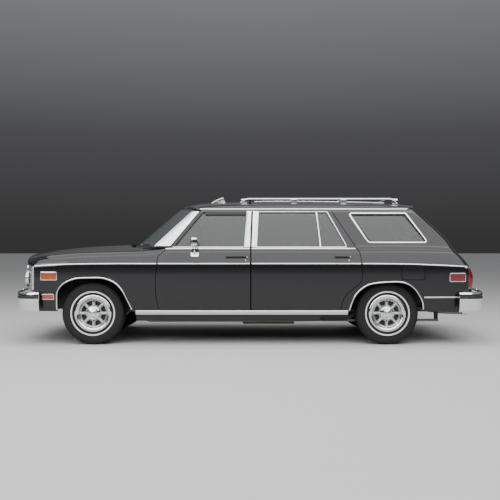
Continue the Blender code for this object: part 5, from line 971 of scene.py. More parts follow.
def quarter_surface(name, thickness):
    def inwards(u, v):
        turn = min(max(u - 1, 0), 1) * math.pi / 2
        return Vector((-math.sin(turn), math.cos(turn), 0)) * thickness

    us = spread(0.0, 1.0, 64) + spread(1.0, 2.0, 9)[1:] + spread(2.0, 3.0, 8)[1:]
    return solid(name, us, LOW_LINES + HIGH_LINES + GLASS_LINES, on_quarter, inwards)


def gate_opening(gap):
    sides = [(half + gap, z) for half, z in GATE_SIDES]
    sides[0] = (sides[0][0], GATE_FOOT_Z - gap)
    sides.append((sides[-1][0], GATE_TOP_Z + OPEN))
    return sides + [(-y, z) for y, z in reversed(sides)]


def fuel_outline(grow=0.0):
    half_x, half_z = FUEL["length"] / 2 + grow, FUEL["height"] / 2 + grow
    x, z = FUEL["x"], FUEL["z"]
    return frame_of(x - half_x, z - half_z, x + half_x, z + half_z, FUEL["corner"], 7)


def lamp_block(gap):
    low = (LAMP_FRONT_X - gap, -1.1, LAMP_LOW - gap)
    return block("lamp_block", low, (TAIL_OUT, -LAMP_IN_Y + gap, LAMP_HIGH + gap))


def quarters():
    edge = rear_door_edge(GAP)
    far, top = TAIL_X + OPEN, RAIL_Z - TINY
    foot = QUARTER_FOOT_Z
    outline = [(edge[0][0], top), *edge[1:-1], (edge[-1][0], foot), (far, foot), (far, top)]
    body = keep(quarter_surface("quarter_panel_left", QUARTER_WALL), side_cutter(outline))
    cut(body, side_cutter(arch(REAR_ARCH)), side_cutter(quarter_window()),
        tail_cutter(gate_opening(GAP * 1.2)), lamp_block(TINY))
    right = twin(body, "quarter_panel_right")
    dress(right, PAINT, "body", ["quarter_right"])
    cut(body, prism(fuel_outline(FUEL_GAP), FAR_OUT, FUEL_DEPTH - side_y(FUEL["x"], FUEL["z"])))
    dress(body, PAINT, "body", ["quarter_left"])
    lid = walled(sheet("fuel_lid", spread(1.50, 1.80, 14), LOW_LINES + HIGH_LINES, on_side), 0.006)
    dress(keep(lid, side_cutter(fuel_outline())), PAINT, "fuel_door", ["fuel_door"])
    lamp = keep(quarter_surface("tail_lens_left", 0.024), lamp_block(0.0))
    both(lamp, RED, "body", ["tail_lamp_left"])


# Tailgate
def gate_half(z):
    return along(z, [row[1] for row in GATE_SIDES], [row[0] for row in GATE_SIDES])


def gate_surface(name, inset, thickness):
    def point(share, z):
        y = share * gate_half(z)
        return Vector((tail_surface_x(y, z) - inset, y, z))

    return walled(sheet(name, spread(-1, 1, 41), spread(GATE_FOOT_Z, GATE_TOP_Z, 41), point), thickness)


def tail_window(shrink=0.0):
    low, high = (0.660 - shrink, 1.040 + shrink), (0.592 - shrink, 1.320 - shrink)
    loop = [low, high, (-high[0], high[1]), (-low[0], low[1])]
    return rounded([(y, z, 0.045) for y, z in loop])


def tailgate():
    gate = cut(gate_surface("tailgate_panel", 0.0, 0.040), tail_cutter(tail_window()))
    for hand in (-1, 1):
        x = tail_surface_x(0.3, GATE_TOP_Z)
        low = (x - 0.040, hand * 0.3 - 0.040, GATE_TOP_Z - 0.022)
        join(gate, block("hinge", low, (x - 0.004, hand * 0.3 + 0.040, RAIL_Z - TINY)))
    dress(gate, PAINT, "tailgate", ["tailgate"])
    glass = keep(gate_surface("tailgate_pane", 0.014, GLASS_WALL), tail_cutter(tail_window(TINY)))
    dress(glass, GLASS, "tailgate", ["tailgate_glass"])


# Roof
ROOF_SECTION = (
    (1.012, 0.00), (0.985, 0.28), (0.93, 0.50), (0.83, 0.68), (0.66, 0.83), (0.40, 0.95), (0.00, 1.00),
)
ROOF_CROWNS = (0.42, 0.72, 0.88, 1.00, 1.00, 0.93, 0.80, 0.58)
ROOF_STATIONS = (0.00, 0.06, 0.14, 0.35, 0.55, 0.75, 0.90, 1.00)
ROOF_WALL = 0.025


def roof_point(t, s):
    """t runs from the front edge to the rear one, s from 0 at the rail to 1 at the middle."""
    knots = spread(0.0, 1.0, len(ROOF_SECTION))
    width = along(s, knots, [row[0] for row in ROOF_SECTION])
    height = along(s, knots, [row[1] for row in ROOF_SECTION])
    front = between(-0.755, -0.560, min(1.0, width) ** 2)
    rear = tail_surface_x(RAIL_Y * min(1.0, width) - DRAW_IN * 0.2, RAIL_Z) - 0.012
    x = between(front, rear, t)
    crown = (ROOF_Z - RAIL_Z) * along(t, ROOF_STATIONS, ROOF_CROWNS)
    return Vector((x, -glass_y(x, RAIL_Z) * width, RAIL_Z + crown * height))


def on_roof(t, s):
    here = roof_point(t, 1 - abs(s))
    return Vector((here.x, here.y if s < 0 else -here.y, here.z))


def roof():
    body = walled(sheet("roof_panel", spread(0, 1, 70), spread(-1, 1, 57), on_roof), ROOF_WALL)
    cut(body, block("foot", (-0.95, -1, 1.2), (2.3, 1, RAIL_Z)))
    dress(body, PAINT, "body", ["roof"])
    lining = sheet("headliner", spread(0.04, 0.96, 40), spread(-0.94, 0.94, 30), on_roof)
    bmesh_shift(lining, (0, 0, -ROOF_WALL - 0.004))
    dress(walled(lining, 0.004), LINER)


def rear_header():
    """Seal and gutter that close the gap between the roof and the tailgate."""
    path = [(y, 1.3865) for y in spread(-0.655, 0.655, 60)]
    inner = [(-0.004, -0.030), (0.004, -0.030), (0.004, -0.006), (-0.004, -0.006)]
    dress(strip("roof_rear_seal", path, inner, tail, closed=False), RUBBER, angle=50)


def bmesh_shift(body, move):
    body.data.transform(Matrix.Translation(move))
    return body


# Hood and nose
def hood_rear_x(share):
    return between(-1.335, -1.142, min(1.0, abs(share)) ** 2.2)


def hood_front_x(y):
    return between(-2.190, -2.100, min(1.0, abs(y) / 0.760) ** 2)


HOOD_SECTION = ((1.00, 0.00), (0.90, 0.25), (0.62, 0.45), (0.52, 0.72), (0.30, 0.93), (0.00, 1.00))


def on_hood(t, s):
    width = abs(s)
    shares = list(reversed(HOOD_SECTION))
    height = along(width, [row[0] for row in shares], [row[1] for row in shares])
    x = between(hood_front_x(fender_edge(-2.100)[0] * width), hood_rear_x(width), t)
    half, z = fender_edge(min(x, -1.142))
    return Vector((x, (half - 0.0045) * s, z + between(0.030, 0.046, t) * height))


def hood():
    body = walled(sheet("hood_panel", spread(0, 1, 50), spread(-1, 1, 81), on_hood), 0.022)
    dress(body, PAINT, "hood", ["hood"])


NOSE_HALF = 0.880


def front_x(y):
    share = min(1.0, abs(y) / NOSE_HALF)
    past = max(0.0, (share - 0.90) / 0.10)
    return NOSE_X - 0.165 * (1 - share**2) + 0.040 * (1 - math.sqrt(1 - past**2))


def on_nose(share, run):
    y = -share * NOSE_HALF
    ahead, back = front_x(y), hood_front_x(y) - 0.004
    half, edge_z = fender_edge(FENDER_FRONT_X)
    shoulder = section(FENDER_FRONT_X)[1]
    top = along(abs(y), [half, shoulder[3][0], NOSE_HALF], [edge_z, shoulder[3][1], shoulder[1][1]])
    if abs(y) < half:
        flat = edge_z + 0.030 * (1.0 - abs(y) / half)
        top = between(flat, on_hood(0.0, abs(y) / half).z, along(run, [0, 0.72, 1.0], [0, 0, 1]) ** 2)
    knots = spread(0, 1, 5)
    depth = along(run, knots, (0.05, -0.02, 0.04, 0.30, 1.00))
    rise = along(run, knots, (0.00, 0.22, 0.70, 0.94, 1.00))
    return Vector((between(ahead, back, depth), y, between(0.802, top, rise)))


def nose():
    body = walled(sheet("nose_shell", spread(-1, 1, 61), spread(0, 1, 17), on_nose), 0.020)
    for hand in (-1, 1):
        half, far = fender_edge(FENDER_FRONT_X)[0] - 0.001, fender_edge(-1.995)[0] - 0.001
        notch = [(-2.196, hand * half), (-1.995, hand * far), (-1.995, hand * 1.2), (-2.196, hand * 1.2)]
        cut(body, prism(notch, 0, ROOF_Z, "Z"))
    dress(body, PAINT, "body", ["nose_panel"])


fenders()
doors()
quarters()
tailgate()
roof()
hood()
nose()


# Wheels
TYRE_FORM = (
    (-0.0797, 0.1779), (-0.0797, 0.1893), (-0.0920, 0.1960), (-0.0975, 0.2400), (-0.0945, 0.2850),
    (-0.0800, 0.3130),
)
TYRE_STEPS = 216
TREAD_EDGE, TREAD_RADIUS = (0.066, 0.3188), 0.3198
GROOVES = (-0.048, -0.017, 0.017, 0.048)
GROOVE, GROOVE_DEPTH = 0.0035, 0.008
# The shoulder's blocks: every third step of the tread's edge is drawn in by this depth
BLOCK_IN_Y, BLOCK_RADIUS, BLOCK_STEPS, BLOCK_DEPTH = 0.052, 0.305, 3, 0.006
SPOKES = 8
BAND = ((0.0940, 0.2130), (0.0966, 0.2135), (0.0980, 0.2275), (0.0940, 0.2280))
RIM = (
    (0.062, 0.0), (0.062, 0.045), (0.046, 0.066), (0.044, 0.074), (0.048, 0.138), (0.056, 0.146),
    (0.074, 0.152), (0.084, 0.160), (0.088, 0.168), (0.088, 0.187), (0.085, 0.189), (0.080, 0.188),
    (0.080, 0.1776), (0.060, 0.170), (-0.060, 0.170), (-0.080, 0.1776), (-0.080, 0.189), (-0.086, 0.189),
    (-0.088, 0.186), (-0.088, 0.168), (-0.060, 0.162), (0.026, 0.160), (0.034, 0.146), (0.030, 0.072),
    (0.040, 0.060), (0.040, 0.0),
)
# Corners of the opening between two spokes: radius, angle and rounding
RIM_WINDOW = ((0.084, -0.19, 0.006), (0.134, -0.30, 0.012), (0.134, 0.30, 0.012), (0.084, 0.19, 0.006))
DRUM = ((0.020, 0.0), (0.020, 0.130), (0.014, 0.138), (-0.030, 0.138), (-0.030, 0.0))
TRIM_RING = (
    (0.070, 0.146), (0.082, 0.150), (0.090, 0.158), (0.0945, 0.170), (0.0940, 0.180), (0.0895, 0.1875),
    (0.0882, 0.1870), (0.0882, 0.168), (0.084, 0.158), (0.072, 0.150),
)
INNER_RING = ((0.050, 0.1395), (0.0625, 0.1395), (0.0640, 0.1425), (0.060, 0.1450), (0.050, 0.1450))
SPOKE_LOW, SPOKE_HIGH, SPOKE_BEVEL = (-0.0065, -0.058, 0.060), (0.0065, -0.044, 0.143), 0.004
HUB_CAP = (
    (0.040, 0.0), (0.040, 0.070), (0.058, 0.070), (0.065, 0.066), (0.069, 0.056), (0.066, 0.052),
    (0.067, 0.048), (0.073, 0.044), (0.076, 0.034), (0.072, 0.030), (0.073, 0.026), (0.080, 0.022),
    (0.083, 0.012), (0.084, 0.0),
)
VALVE_PLACE, VALVE_RADIUS, VALVE_LENGTH = (0.1, -0.084, 0.112), 0.004, 0.022


def tyre(name, centre):
    wall_side = smoothed(TYRE_FORM[2:], 12)
    half = [*TYRE_FORM[:2], *wall_side]
    edge, edge_radius = TREAD_EDGE
    low = TREAD_RADIUS - GROOVE_DEPTH
    tread = [(-edge, edge_radius)]
    for at in GROOVES:
        left, right = at - GROOVE, at + GROOVE
        tread += [(left, TREAD_RADIUS), (left, low), (right, low), (right, TREAD_RADIUS)]
    tread.append((edge, edge_radius))
    body = turned(name, half + tread + [(-a, r) for a, r in reversed(half)], centre, TYRE_STEPS)
    for vert in body.data.vertices:
        place = vert.co - centre
        turn = round(math.atan2(place.z, place.x) / math.tau * TYRE_STEPS)
        radius = math.hypot(place.x, place.z)
        outer = abs(place.y) > BLOCK_IN_Y and radius > BLOCK_RADIUS
        if outer and (turn + (place.y > 0)) % BLOCK_STEPS == 0:
            share = (radius - BLOCK_DEPTH) / radius
            vert.co = centre + Vector((place.x * share, place.y, place.z * share))
    return body


def around(body, centre, count):
    """Copies of a piece turned about an axle, in one mesh."""
    bm = bmesh.new()
    bm.from_mesh(body.data)
    bmesh.ops.spin(bm, geom=bm.verts[:] + bm.edges[:] + bm.faces[:], cent=centre, axis=(0, 1, 0),
                   angle=math.tau * (count - 1) / count, steps=count - 1, use_duplicate=True)
    bm.to_mesh(body.data)
    bm.free()
    return body


def disc(name, profile, centre, steps=96):
    return turned(name, [(-out, radius) for out, radius in profile], centre, steps)


def wheel(place, x):
    centre = Vector((x, -WHEEL_Y, AXLE_Z))
    rides = "wheel_%s_left" % place
    end = "_%s_left" % place
    both(tyre("tread" + end, centre), TYRE, rides, ["tyre" + end])
    both(disc("white_band" + end, BAND, centre), WHITE, rides)
    rim = disc("rim_shell" + end, RIM, centre)
    windows = []
    for k in range(SPOKES):
        turn = math.tau * (k + 0.5) / SPOKES
        outline = []
        for reach, angle, rounding in RIM_WINDOW:
            way = turn + angle
            outline.append((x + reach * math.cos(way), AXLE_Z + reach * math.sin(way), rounding))
        windows.append(prism(rounded(outline, 4), -0.9, -0.7))
    both(cut(rim, *windows), SILVER, rides, ["rim" + end])
    both(disc("brake_drum" + end, DRUM, centre), UNDERSEAL, rides)
    both(disc("trim_ring" + end, TRIM_RING, centre), CHROME, rides)
    both(disc("inner_ring" + end, INNER_RING, centre), CHROME, rides)
    spoke = block("spokes" + end, centre + Vector(SPOKE_LOW), centre + Vector(SPOKE_HIGH), SPOKE_BEVEL)
    both(around(spoke, centre, SPOKES), CHROME, rides)
    both(disc("hub_cap" + end, HUB_CAP, centre), CHROME, rides)
    stem = rod("valve" + end, centre + Vector(VALVE_PLACE), VALVE_RADIUS, VALVE_LENGTH, "Y", 12, 0.003)
    both(stem, RUBBER, rides)


# Glass and bright pillars in front
SCREEN_FOOT = (0.822, -1.245, -1.000, 1.000, 0.998)
SCREEN_TOP = (0.668, -0.768, -0.622, 1.412, 1.362)


def screen(share, t):
    """A point of the windscreen at a share of its half width, t being the way up from its foot."""
    half, middle_x, side_x, middle_z, side_z = [between(a, b, t) for a, b in zip(SCREEN_FOOT, SCREEN_TOP)]
    bend = abs(share) ** 2.2
    return Vector((between(middle_x, side_x, bend), share * half, between(middle_z, side_z, bend)))


def windscreen():
    pane = sheet("windscreen_pane", spread(-0.995, 0.995, 49), spread(0.012, 0.985, 17), screen)
    dress(walled(pane, GLASS_WALL), GLASS, "body", ["windscreen"])
    corners = ((-0.985, 0.020), (-0.985, 0.975), (0.985, 0.975), (0.985, 0.020))
    loop = rounded([(*corner, 0.04) for corner in corners], 5)
    path = []
    for here, there in zip(loop, loop[1:] + loop[:1]):
        path += [here.lerp(there, k / 12) for k in range(12)] if (there - here).length > 0.1 else [here]
    dress(strip("windscreen_trim", path, bead(0.022, 0.006), screen, closed=True), CHROME)


def pillar_point(share, up):
    """A point of the pillar's face, from the windscreen's edge to the door's."""
    edge = screen(-1.0, between(0.002, 1.03, up))
    door_x = pillar_x(edge.z) - 0.0085
    outer = -glass_y(door_x, edge.z)
    middle = Vector((between(edge.x, door_x, 0.45), between(edge.y, outer, 0.72), edge.z))
    ends = Vector((door_x, outer, edge.z))
    return Vector([along(share, [0, 0.5, 1.0], [edge[k], middle[k], ends[k]]) for k in range(3)])


def pillars():
    cover = sheet("pillar_cover_left", spread(0.04, 1.0, 9), spread(0.03, 0.985, 25), pillar_point)
    bmesh_shift(cover, (0, -0.0012, 0.0006))
    both(modified(cover, "SOLIDIFY", thickness=0.0018, offset=1.0), SATIN)


# Bright mouldings on the sides
def path_x(low, high, level, count=40):
    return [(x, level(x) if callable(level) else level) for x in spread(low, high, count)]


def moulding(name, low, high, level, profile, rides="body", surface=None, finish=None, count=40):
    both(strip(name, path_x(low, high, level, count), profile, surface or on_side), finish or CHROME, rides)


def window_loop(name, outline, profile, finish, rides="body"):
    """A moulding round a side window."""
    both(strip(name, finer(outline), profile, on_glass, closed=True), finish, rides)


def side_trim():
    slim = bead(0.013, 0.0065)
    for name, low, high, rides in (
        ("fender", -2.185, -0.947, "body"), ("front_door", -0.929, -0.003, "front_door_left"),
        ("rear_door", 0.019, 1.119, "rear_door_left"), ("quarter", 1.137, 2.205, "body"),
    ):
        moulding("%s_moulding_left" % name, low, high, 1.0, slim, rides, count=70)
    for name, low, high, rides in (
        ("front", -0.860, -0.003, "front_door_left"), ("rear", 0.019, 1.072, "rear_door_left"),
    ):
        moulding("%s_belt_left" % name, low, high, 1.955, bead(0.017, 0.006), rides)
        start, end = (-0.788, -0.070) if name == "front" else (0.076, 0.985)
        thin = bead(0.010, 0.004)
        moulding("%s_sill_trim_left" % name, start, end, WINDOW_FOOT_Z - 0.005, thin, rides, on_glass)
    gutter = bead(0.015, 0.011)
    moulding("drip_rail_left", -0.520, 1.640, RAIL_Z + 0.001, gutter, "body", on_glass, SATIN, 60)
    moulding("rocker_left", -1.160, 0.995, 0.333, bead(0.046, 0.007), surface=side, finish=SATIN, count=60)
    moulding("low_quarter_left", 1.765, 2.130, 0.488, bead(0.014, 0.006), surface=side, finish=SATIN)
    for name, form in (("front", FRONT_ARCH), ("rear", REAR_ARCH)):
        path = [p for p in arch(form, 0.004, 90) if p.y > 0.350]
        both(strip("%s_arch_trim_left" % name, path, bead(0.014, 0.008), side), CHROME)
    window_loop("front_window_trim_left", front_window(-0.005), bead(0.012, 0.003), RUBBER, "front_door_left")
    window_loop("rear_window_trim_left", rear_window(-0.006), bead(0.010, 0.004), SATIN, "rear_door_left")
    # A wide black band along the top of the front window: the window's run channel, drawn wide and black as
    # painted shade of the door frame above.
    start, level = pillar_x(WINDOW_TOP_Z) + 0.062, WINDOW_TOP_Z - 0.012
    band = bead(0.032, 0.004)
    moulding("front_glass_run_left", start, -0.038, level, band, "front_door_left", on_glass, RUBBER)
    window_loop("quarter_window_trim_left", quarter_window(-0.008), bead(0.018, 0.006), CHROME)
    window_loop("quarter_seal_left", quarter_window(0.004), bead(0.008, 0.004), RUBBER)


def centre_pillar():
    """The fluted bright plates on the door frames, either side of the line between the doors."""
    for name, rides, low, high in (
        ("front", "front_door_left", ((-0.062, -0.002), (-0.030, 0.013)), 0),
        ("rear", "rear_door_left", ((0.018, 0.066), (0.033, 0.086)), 0),
    ):
        def point(share, z, low=low):
            up = (z - WINDOW_FOOT_Z) / (DOOR_TOP_Z - WINDOW_FOOT_Z)
            x = between(between(low[0][0], low[1][0], up), between(low[0][1], low[1][1], up), share)
            flute = 0.0025 + 0.0012 * math.cos(share * math.tau * 3)
            return Vector((x, -glass_y(x, z) - flute, z))

        heights = spread(WINDOW_FOOT_Z, DOOR_TOP_Z - 0.012, 14)
        plate = solid("%s_pillar_plate_left" % name, spread(0, 1, 25), heights, point, inward(0.004))
        both(plate, SATIN, rides)
    path = list(zip(spread(0.722, 0.690, 13), spread(WINDOW_FOOT_Z, WINDOW_TOP_Z, 13)))
    both(strip("division_bar_left", path, bead(0.016, 0.006), on_glass), CHROME, "rear_door_left")


def patch(name, outline, out, sink=0.004):
    """A pad with a given outline of (x, z) on the side."""
    xs, zs = [p[0] for p in outline], [p[1] for p in outline]
    us = spread(min(xs) - 0.005, max(xs) + 0.005, 17)
    vs = spread(min(zs) - 0.005, max(zs) + 0.005, 9)
    body = solid(name, us, vs, lambda x, z: side(x, z) + Vector((0, -out, 0)), inward(out + sink))
    keep(body, side_cutter(outline))
    return modified(body, "BEVEL", width=min(out * 0.45, 0.003), segments=2, limit_method="ANGLE")


def markers():
    for name, box, finish in (
        ("front_marker", (-2.120, 0.668, -1.962, 0.740), AMBER),
        ("low_marker", (-2.110, 0.470, -1.995, 0.515), AMBER),
        ("rear_marker", (2.030, 0.652, 2.186, 0.728), RED),
    ):
        bezel = frame_of(box[0] - 0.007, box[1] - 0.007, box[2] + 0.007, box[3] + 0.007, 0.009)
        both(patch(name + "_bezel_left", bezel, 0.005), CHROME)
        both(patch(name + "_lens_left", frame_of(*box, 0.006), 0.009), finish)


def handles():
    for name, low, high in (("front", -0.250, -0.014), ("rear", 0.852, 1.032)):
        rides = name + "_door_left"
        # The black plate behind each grip is painted shade of the handle's recess.
        plate = frame_of(low, 0.884, high, 0.910, 0.010)
        both(patch(name + "_handle_plate_left", plate, 0.003), RUBBER, rides)
        grip = [(x, 0.898) for x in spread(low + 0.012, high - 0.030, 20)]
        both(strip(name + "_handle_left", grip, bead(0.015, 0.019, 0.0), side), PAINT, rides)
        place = side(high - 0.015, 0.897) + Vector((0, -0.006, 0))
        both(rod(name + "_button_left", place, 0.008, 0.016, "Y", 24, bevel=0.002), CHROME, rides)
        place = side(high - 0.030, 0.866) + Vector((0, -0.001, 0))
        both(rod(name + "_lock_left", place, 0.010, 0.010, "Y", 28, bevel=0.002), CHROME, rides)


def mirrors():
    head = block("mirror_head_left", (-0.600, -0.985, 1.005), (-0.530, -0.885, 1.098), 0.022, 5)
    both(head, CHROME, "front_door_left", ["mirror_left"])
    glass = block("mirror_glass_left", (-0.5315, -0.977, 1.013), (-0.5285, -0.893, 1.090), 0.0012, 1)
    both(glass, CHROME, "front_door_left")
    root = side(-0.560, 0.925)
    path = [root, root + Vector((0, -0.030, 0.030)), Vector((-0.562, -0.935, 1.012))]
    both(tube("mirror_stalk_left", smoothed(path, 10), 0.010), CHROME, "front_door_left")
    foot = patch("mirror_foot_left", frame_of(-0.600, 0.902, -0.520, 0.948, 0.016), 0.006)
    both(foot, CHROME, "front_door_left")


def tube(name, path, radius, sides=16):
    """A round tube along points, its ends closed."""
    path = [Vector(p) for p in path]

    def point(k, turn):
        way = (path[min(k + 1, len(path) - 1)] - path[max(k - 1, 0)]).normalized()
        side_way = way.cross(Vector((0.1, 0.2, 1.0))).normalized()
        size = radius[k] if isinstance(radius, (list, tuple)) else radius
        angle = math.tau * turn / sides
        return path[k] + (side_way * math.cos(angle) + side_way.cross(way) * math.sin(angle)) * size

    return sheet(name, list(range(len(path))), list(range(sides + 1)), point, closed=True)


# Roof fittings
RACK_Y, RACK_LOW_X, RACK_HIGH_X, RACK_TOP_Z = 0.550, -0.106, 1.575, 1.517
DEFLECTOR_LINE = ((-0.445, 1.460), (-0.420, 1.483), (-0.370, 1.511), (-0.310, 1.5365), (-0.301, 1.535))
DEFLECTOR_HALF, DEFLECTOR_BOW, DEFLECTOR_DROP = 0.500, 0.018, 0.022


def roof_z(x, y):
    """Height of the roof's skin at (x, y), found on its own surface."""
    width = min(1.0, abs(y) / glass_y(x, RAIL_Z))
    front = between(-0.755, -0.560, width**2)
    rear = tail_surface_x(RAIL_Y * width - DRAW_IN * 0.2, RAIL_Z) - 0.012
    shares = list(reversed(ROOF_SECTION))
    s = along(width, [row[0] for row in shares], [row[1] for row in shares])
    crown = (ROOF_Z - RAIL_Z) * along((x - front) / (rear - front), ROOF_STATIONS, ROOF_CROWNS)
    return RAIL_Z + crown * s


def stay(name, under, middle):
    """A thin plate that carries the deflector, drawn in side view."""
    plate = prism(under, middle - 0.004, middle + 0.004)
    plate.name = name
    return plate


def roof_fittings():
    xs = spread(RACK_LOW_X, RACK_HIGH_X, 60)
    rows = []
    for x in xs:
        end = min(1.0, (x - RACK_LOW_X) / 0.090, (RACK_HIGH_X - x) / 0.090)
        ease = math.sin(max(end, 0.02) * math.pi / 2)
        foot = roof_z(x, RACK_Y)
        top = between(foot + 0.006, RACK_TOP_Z, ease)
        rows.append((x, top, min(0.024, top - foot) * 0.9))

    def rail(k, turn):
        x, top, depth = rows[k]
        angle = math.tau * turn / 20
        return Vector((x, -RACK_Y + 0.013 * math.cos(angle), top - depth / 2 + depth / 2 * math.sin(angle)))

    rail_left = sheet("rack_rail_left", list(range(60)), list(range(21)), rail, closed=True)
    both(rail_left, CHROME, "body", ["roof_rack"])
    for k, share in enumerate((0.05, 0.35, 0.65, 0.95)):
        x = between(-0.085, 1.560, share)
        low, high = (x - 0.013, -RACK_Y, RACK_TOP_Z - 0.014), (x + 0.013, RACK_Y, RACK_TOP_Z - 0.002)
        dress(block("rack_cross_%d" % (k + 1), low, high, 0.004), CHROME)
    for k, share in enumerate((0.0, 0.33, 0.66, 1.0)):
        x = between(-0.062, 1.537, share)
        low = (x - 0.030, -RACK_Y - 0.012, roof_z(x, RACK_Y) - 0.001)
        high = (x + 0.030, -RACK_Y + 0.012, RACK_TOP_Z - 0.010)
        both(block("rack_foot_%d_left" % (k + 1), low, high, 0.004), CHROME)
    for k in range(7):
        y = between(-0.36, 0.36, k / 6)
        path = [(x, roof_z(x, y)) for x in spread(0.05, 1.48, 30)]
        slat = tube("rack_slat_%d" % (k + 1), [Vector((x, y, z + 0.001)) for x, z in path], 0.004, 10)
        dress(slat, CHROME)
    line = smoothed(DEFLECTOR_LINE, 16)

    def blade(share, k):
        back = DEFLECTOR_BOW * abs(share) ** 2
        drop = DEFLECTOR_DROP * abs(share) ** 4
        return Vector((line[k].x + back, share * DEFLECTOR_HALF, line[k].y - drop))

    wing = walled(sheet("deflector", spread(-1, 1, 41), list(range(16)), blade), 0.004)
    dress(wing, ALLOY, "body", ["roof_deflector"])
    for hand in (-1, 1):
        foot_y = hand * 0.455
        low_z = roof_z(-0.36, foot_y) - 0.004
        under = ((-0.405, low_z), (-0.375, 1.486), (-0.300, 1.516), (-0.278, 1.500), (-0.262, low_z))
        name = "deflector_stay_left" if hand < 0 else "deflector_stay_right"
        dress(stay(name, under, foot_y), ALLOY)


# Bumpers
BUMPER_SECTION = (
    (0.000, 0.530), (0.008, 0.542), (0.016, 0.545), (0.030, 0.543), (0.038, 0.536), (0.0425, 0.522),
    (0.0425, 0.490), (0.0405, 0.465), (0.036, 0.430), (0.028, 0.395), (0.018, 0.362), (0.010, 0.345),
    (0.004, 0.340), (-0.004, 0.341), (-0.008, 0.350), (0.002, 0.390), (0.012, 0.430), (0.018, 0.480),
    (0.014, 0.510),
)
RUB_SECTION = ((0.0410, 0.476), (0.0432, 0.480), (0.0440, 0.492), (0.0436, 0.502), (0.0410, 0.506))
BUMPER_PLANS = {
    "front": (
        (-2.130, 0.918), (-2.215, 0.916), (-2.275, 0.900), (-2.315, 0.865), (-2.345, 0.800),
        (-2.375, 0.680), (-2.400, 0.480), (-2.418, 0.250), (-2.426, 0.000),
    ),
    "rear": (
        (2.110, 0.930), (2.225, 0.926), (2.285, 0.908), (2.322, 0.870), (2.350, 0.790), (2.378, 0.660),
        (2.402, 0.470), (2.419, 0.240), (2.426, 0.000),
    ),
}
BRACKET_Y, OVERRIDER_Y = 0.400, 0.420


def swept(name, plan, section_points):
    """A section of (out, height) swept round a bumper's plan."""
    line = [(x, -y) for x, y in plan] + [(x, y) for x, y in reversed(plan[:-1])]
    if plan[-1][0] > 0:
        line.reverse()
    line = [tuple(p) for p in smoothed(line, 110)]
    rails = {}

    def point(k, j):
        out, z = section_points[j % len(section_points)]
        if out not in rails:
            rails[out] = shifted(line, out)
        x, y = rails[out][k]
        return Vector((x, y, z))

    return sheet(name, list(range(110)), list(range(len(section_points) + 1)), point, closed=True)


def bumpers():
    for name, rest in (("front", -1.950), ("rear", 2.200)):
        plan = BUMPER_PLANS[name]
        shell = swept("%s_bumper_bar" % name, plan, BUMPER_SECTION)
        dress(shell, CHROME, "body", ["bumper_%s" % name], 40)
        dress(swept("%s_rub_strip" % name, plan, RUB_SECTION), RUBBER, angle=50)
        x = along(-BRACKET_Y, [-y for _, y in plan], [x for x, _ in plan])
        for hand, side_name in ((-1, "left"), (1, "right")):
            y = hand * BRACKET_Y
            low, high = sorted((x, rest))
            low, high = (low, y - 0.022, 0.408), (high, y + 0.022, 0.452)
            dress(block("%s_bumper_bracket_%s" % (name, side_name), low, high, 0.004), STEEL)
            y = hand * OVERRIDER_Y
            low, high = sorted((x + math.copysign(0.020, x), x + math.copysign(0.0425, x)))
            low, high = (low, y - 0.028, 0.350), (high, y + 0.028, 0.548)
            dress(block("%s_overrider_%s" % (name, side_name), low, high, 0.008), CHROME)


# Front face
FACE_LOW_Z, FACE_HIGH_Z = 0.560, 0.801
LAMP_YS, LAMP_Z = (0.780, 0.600), 0.682
LAMP_RING = [
    (-0.006, 0.080), (-0.010, 0.083), (-0.010, 0.088), (-0.004, 0.0915), (0.004, 0.0915), (0.004, 0.080),
]
LAMP_LENS = [
    (0.020, 0.0), (0.020, 0.082), (0.002, 0.082), (-0.004, 0.074), (-0.010, 0.050), (-0.013, 0.025),
    (-0.014, 0.0),
]


def on_face(y, z):
    return Vector((front_x(y) + 0.004, y, z))


def boxes(name, corners, bevel=0.0):
    """Several boxes in one mesh."""
    bm = bmesh.new()
    for low, high in corners:
        cube(bm, low, high)
    if bevel:
        bevelled(bm, list(bm.edges), bevel, 2)
    return piece(name, bm)


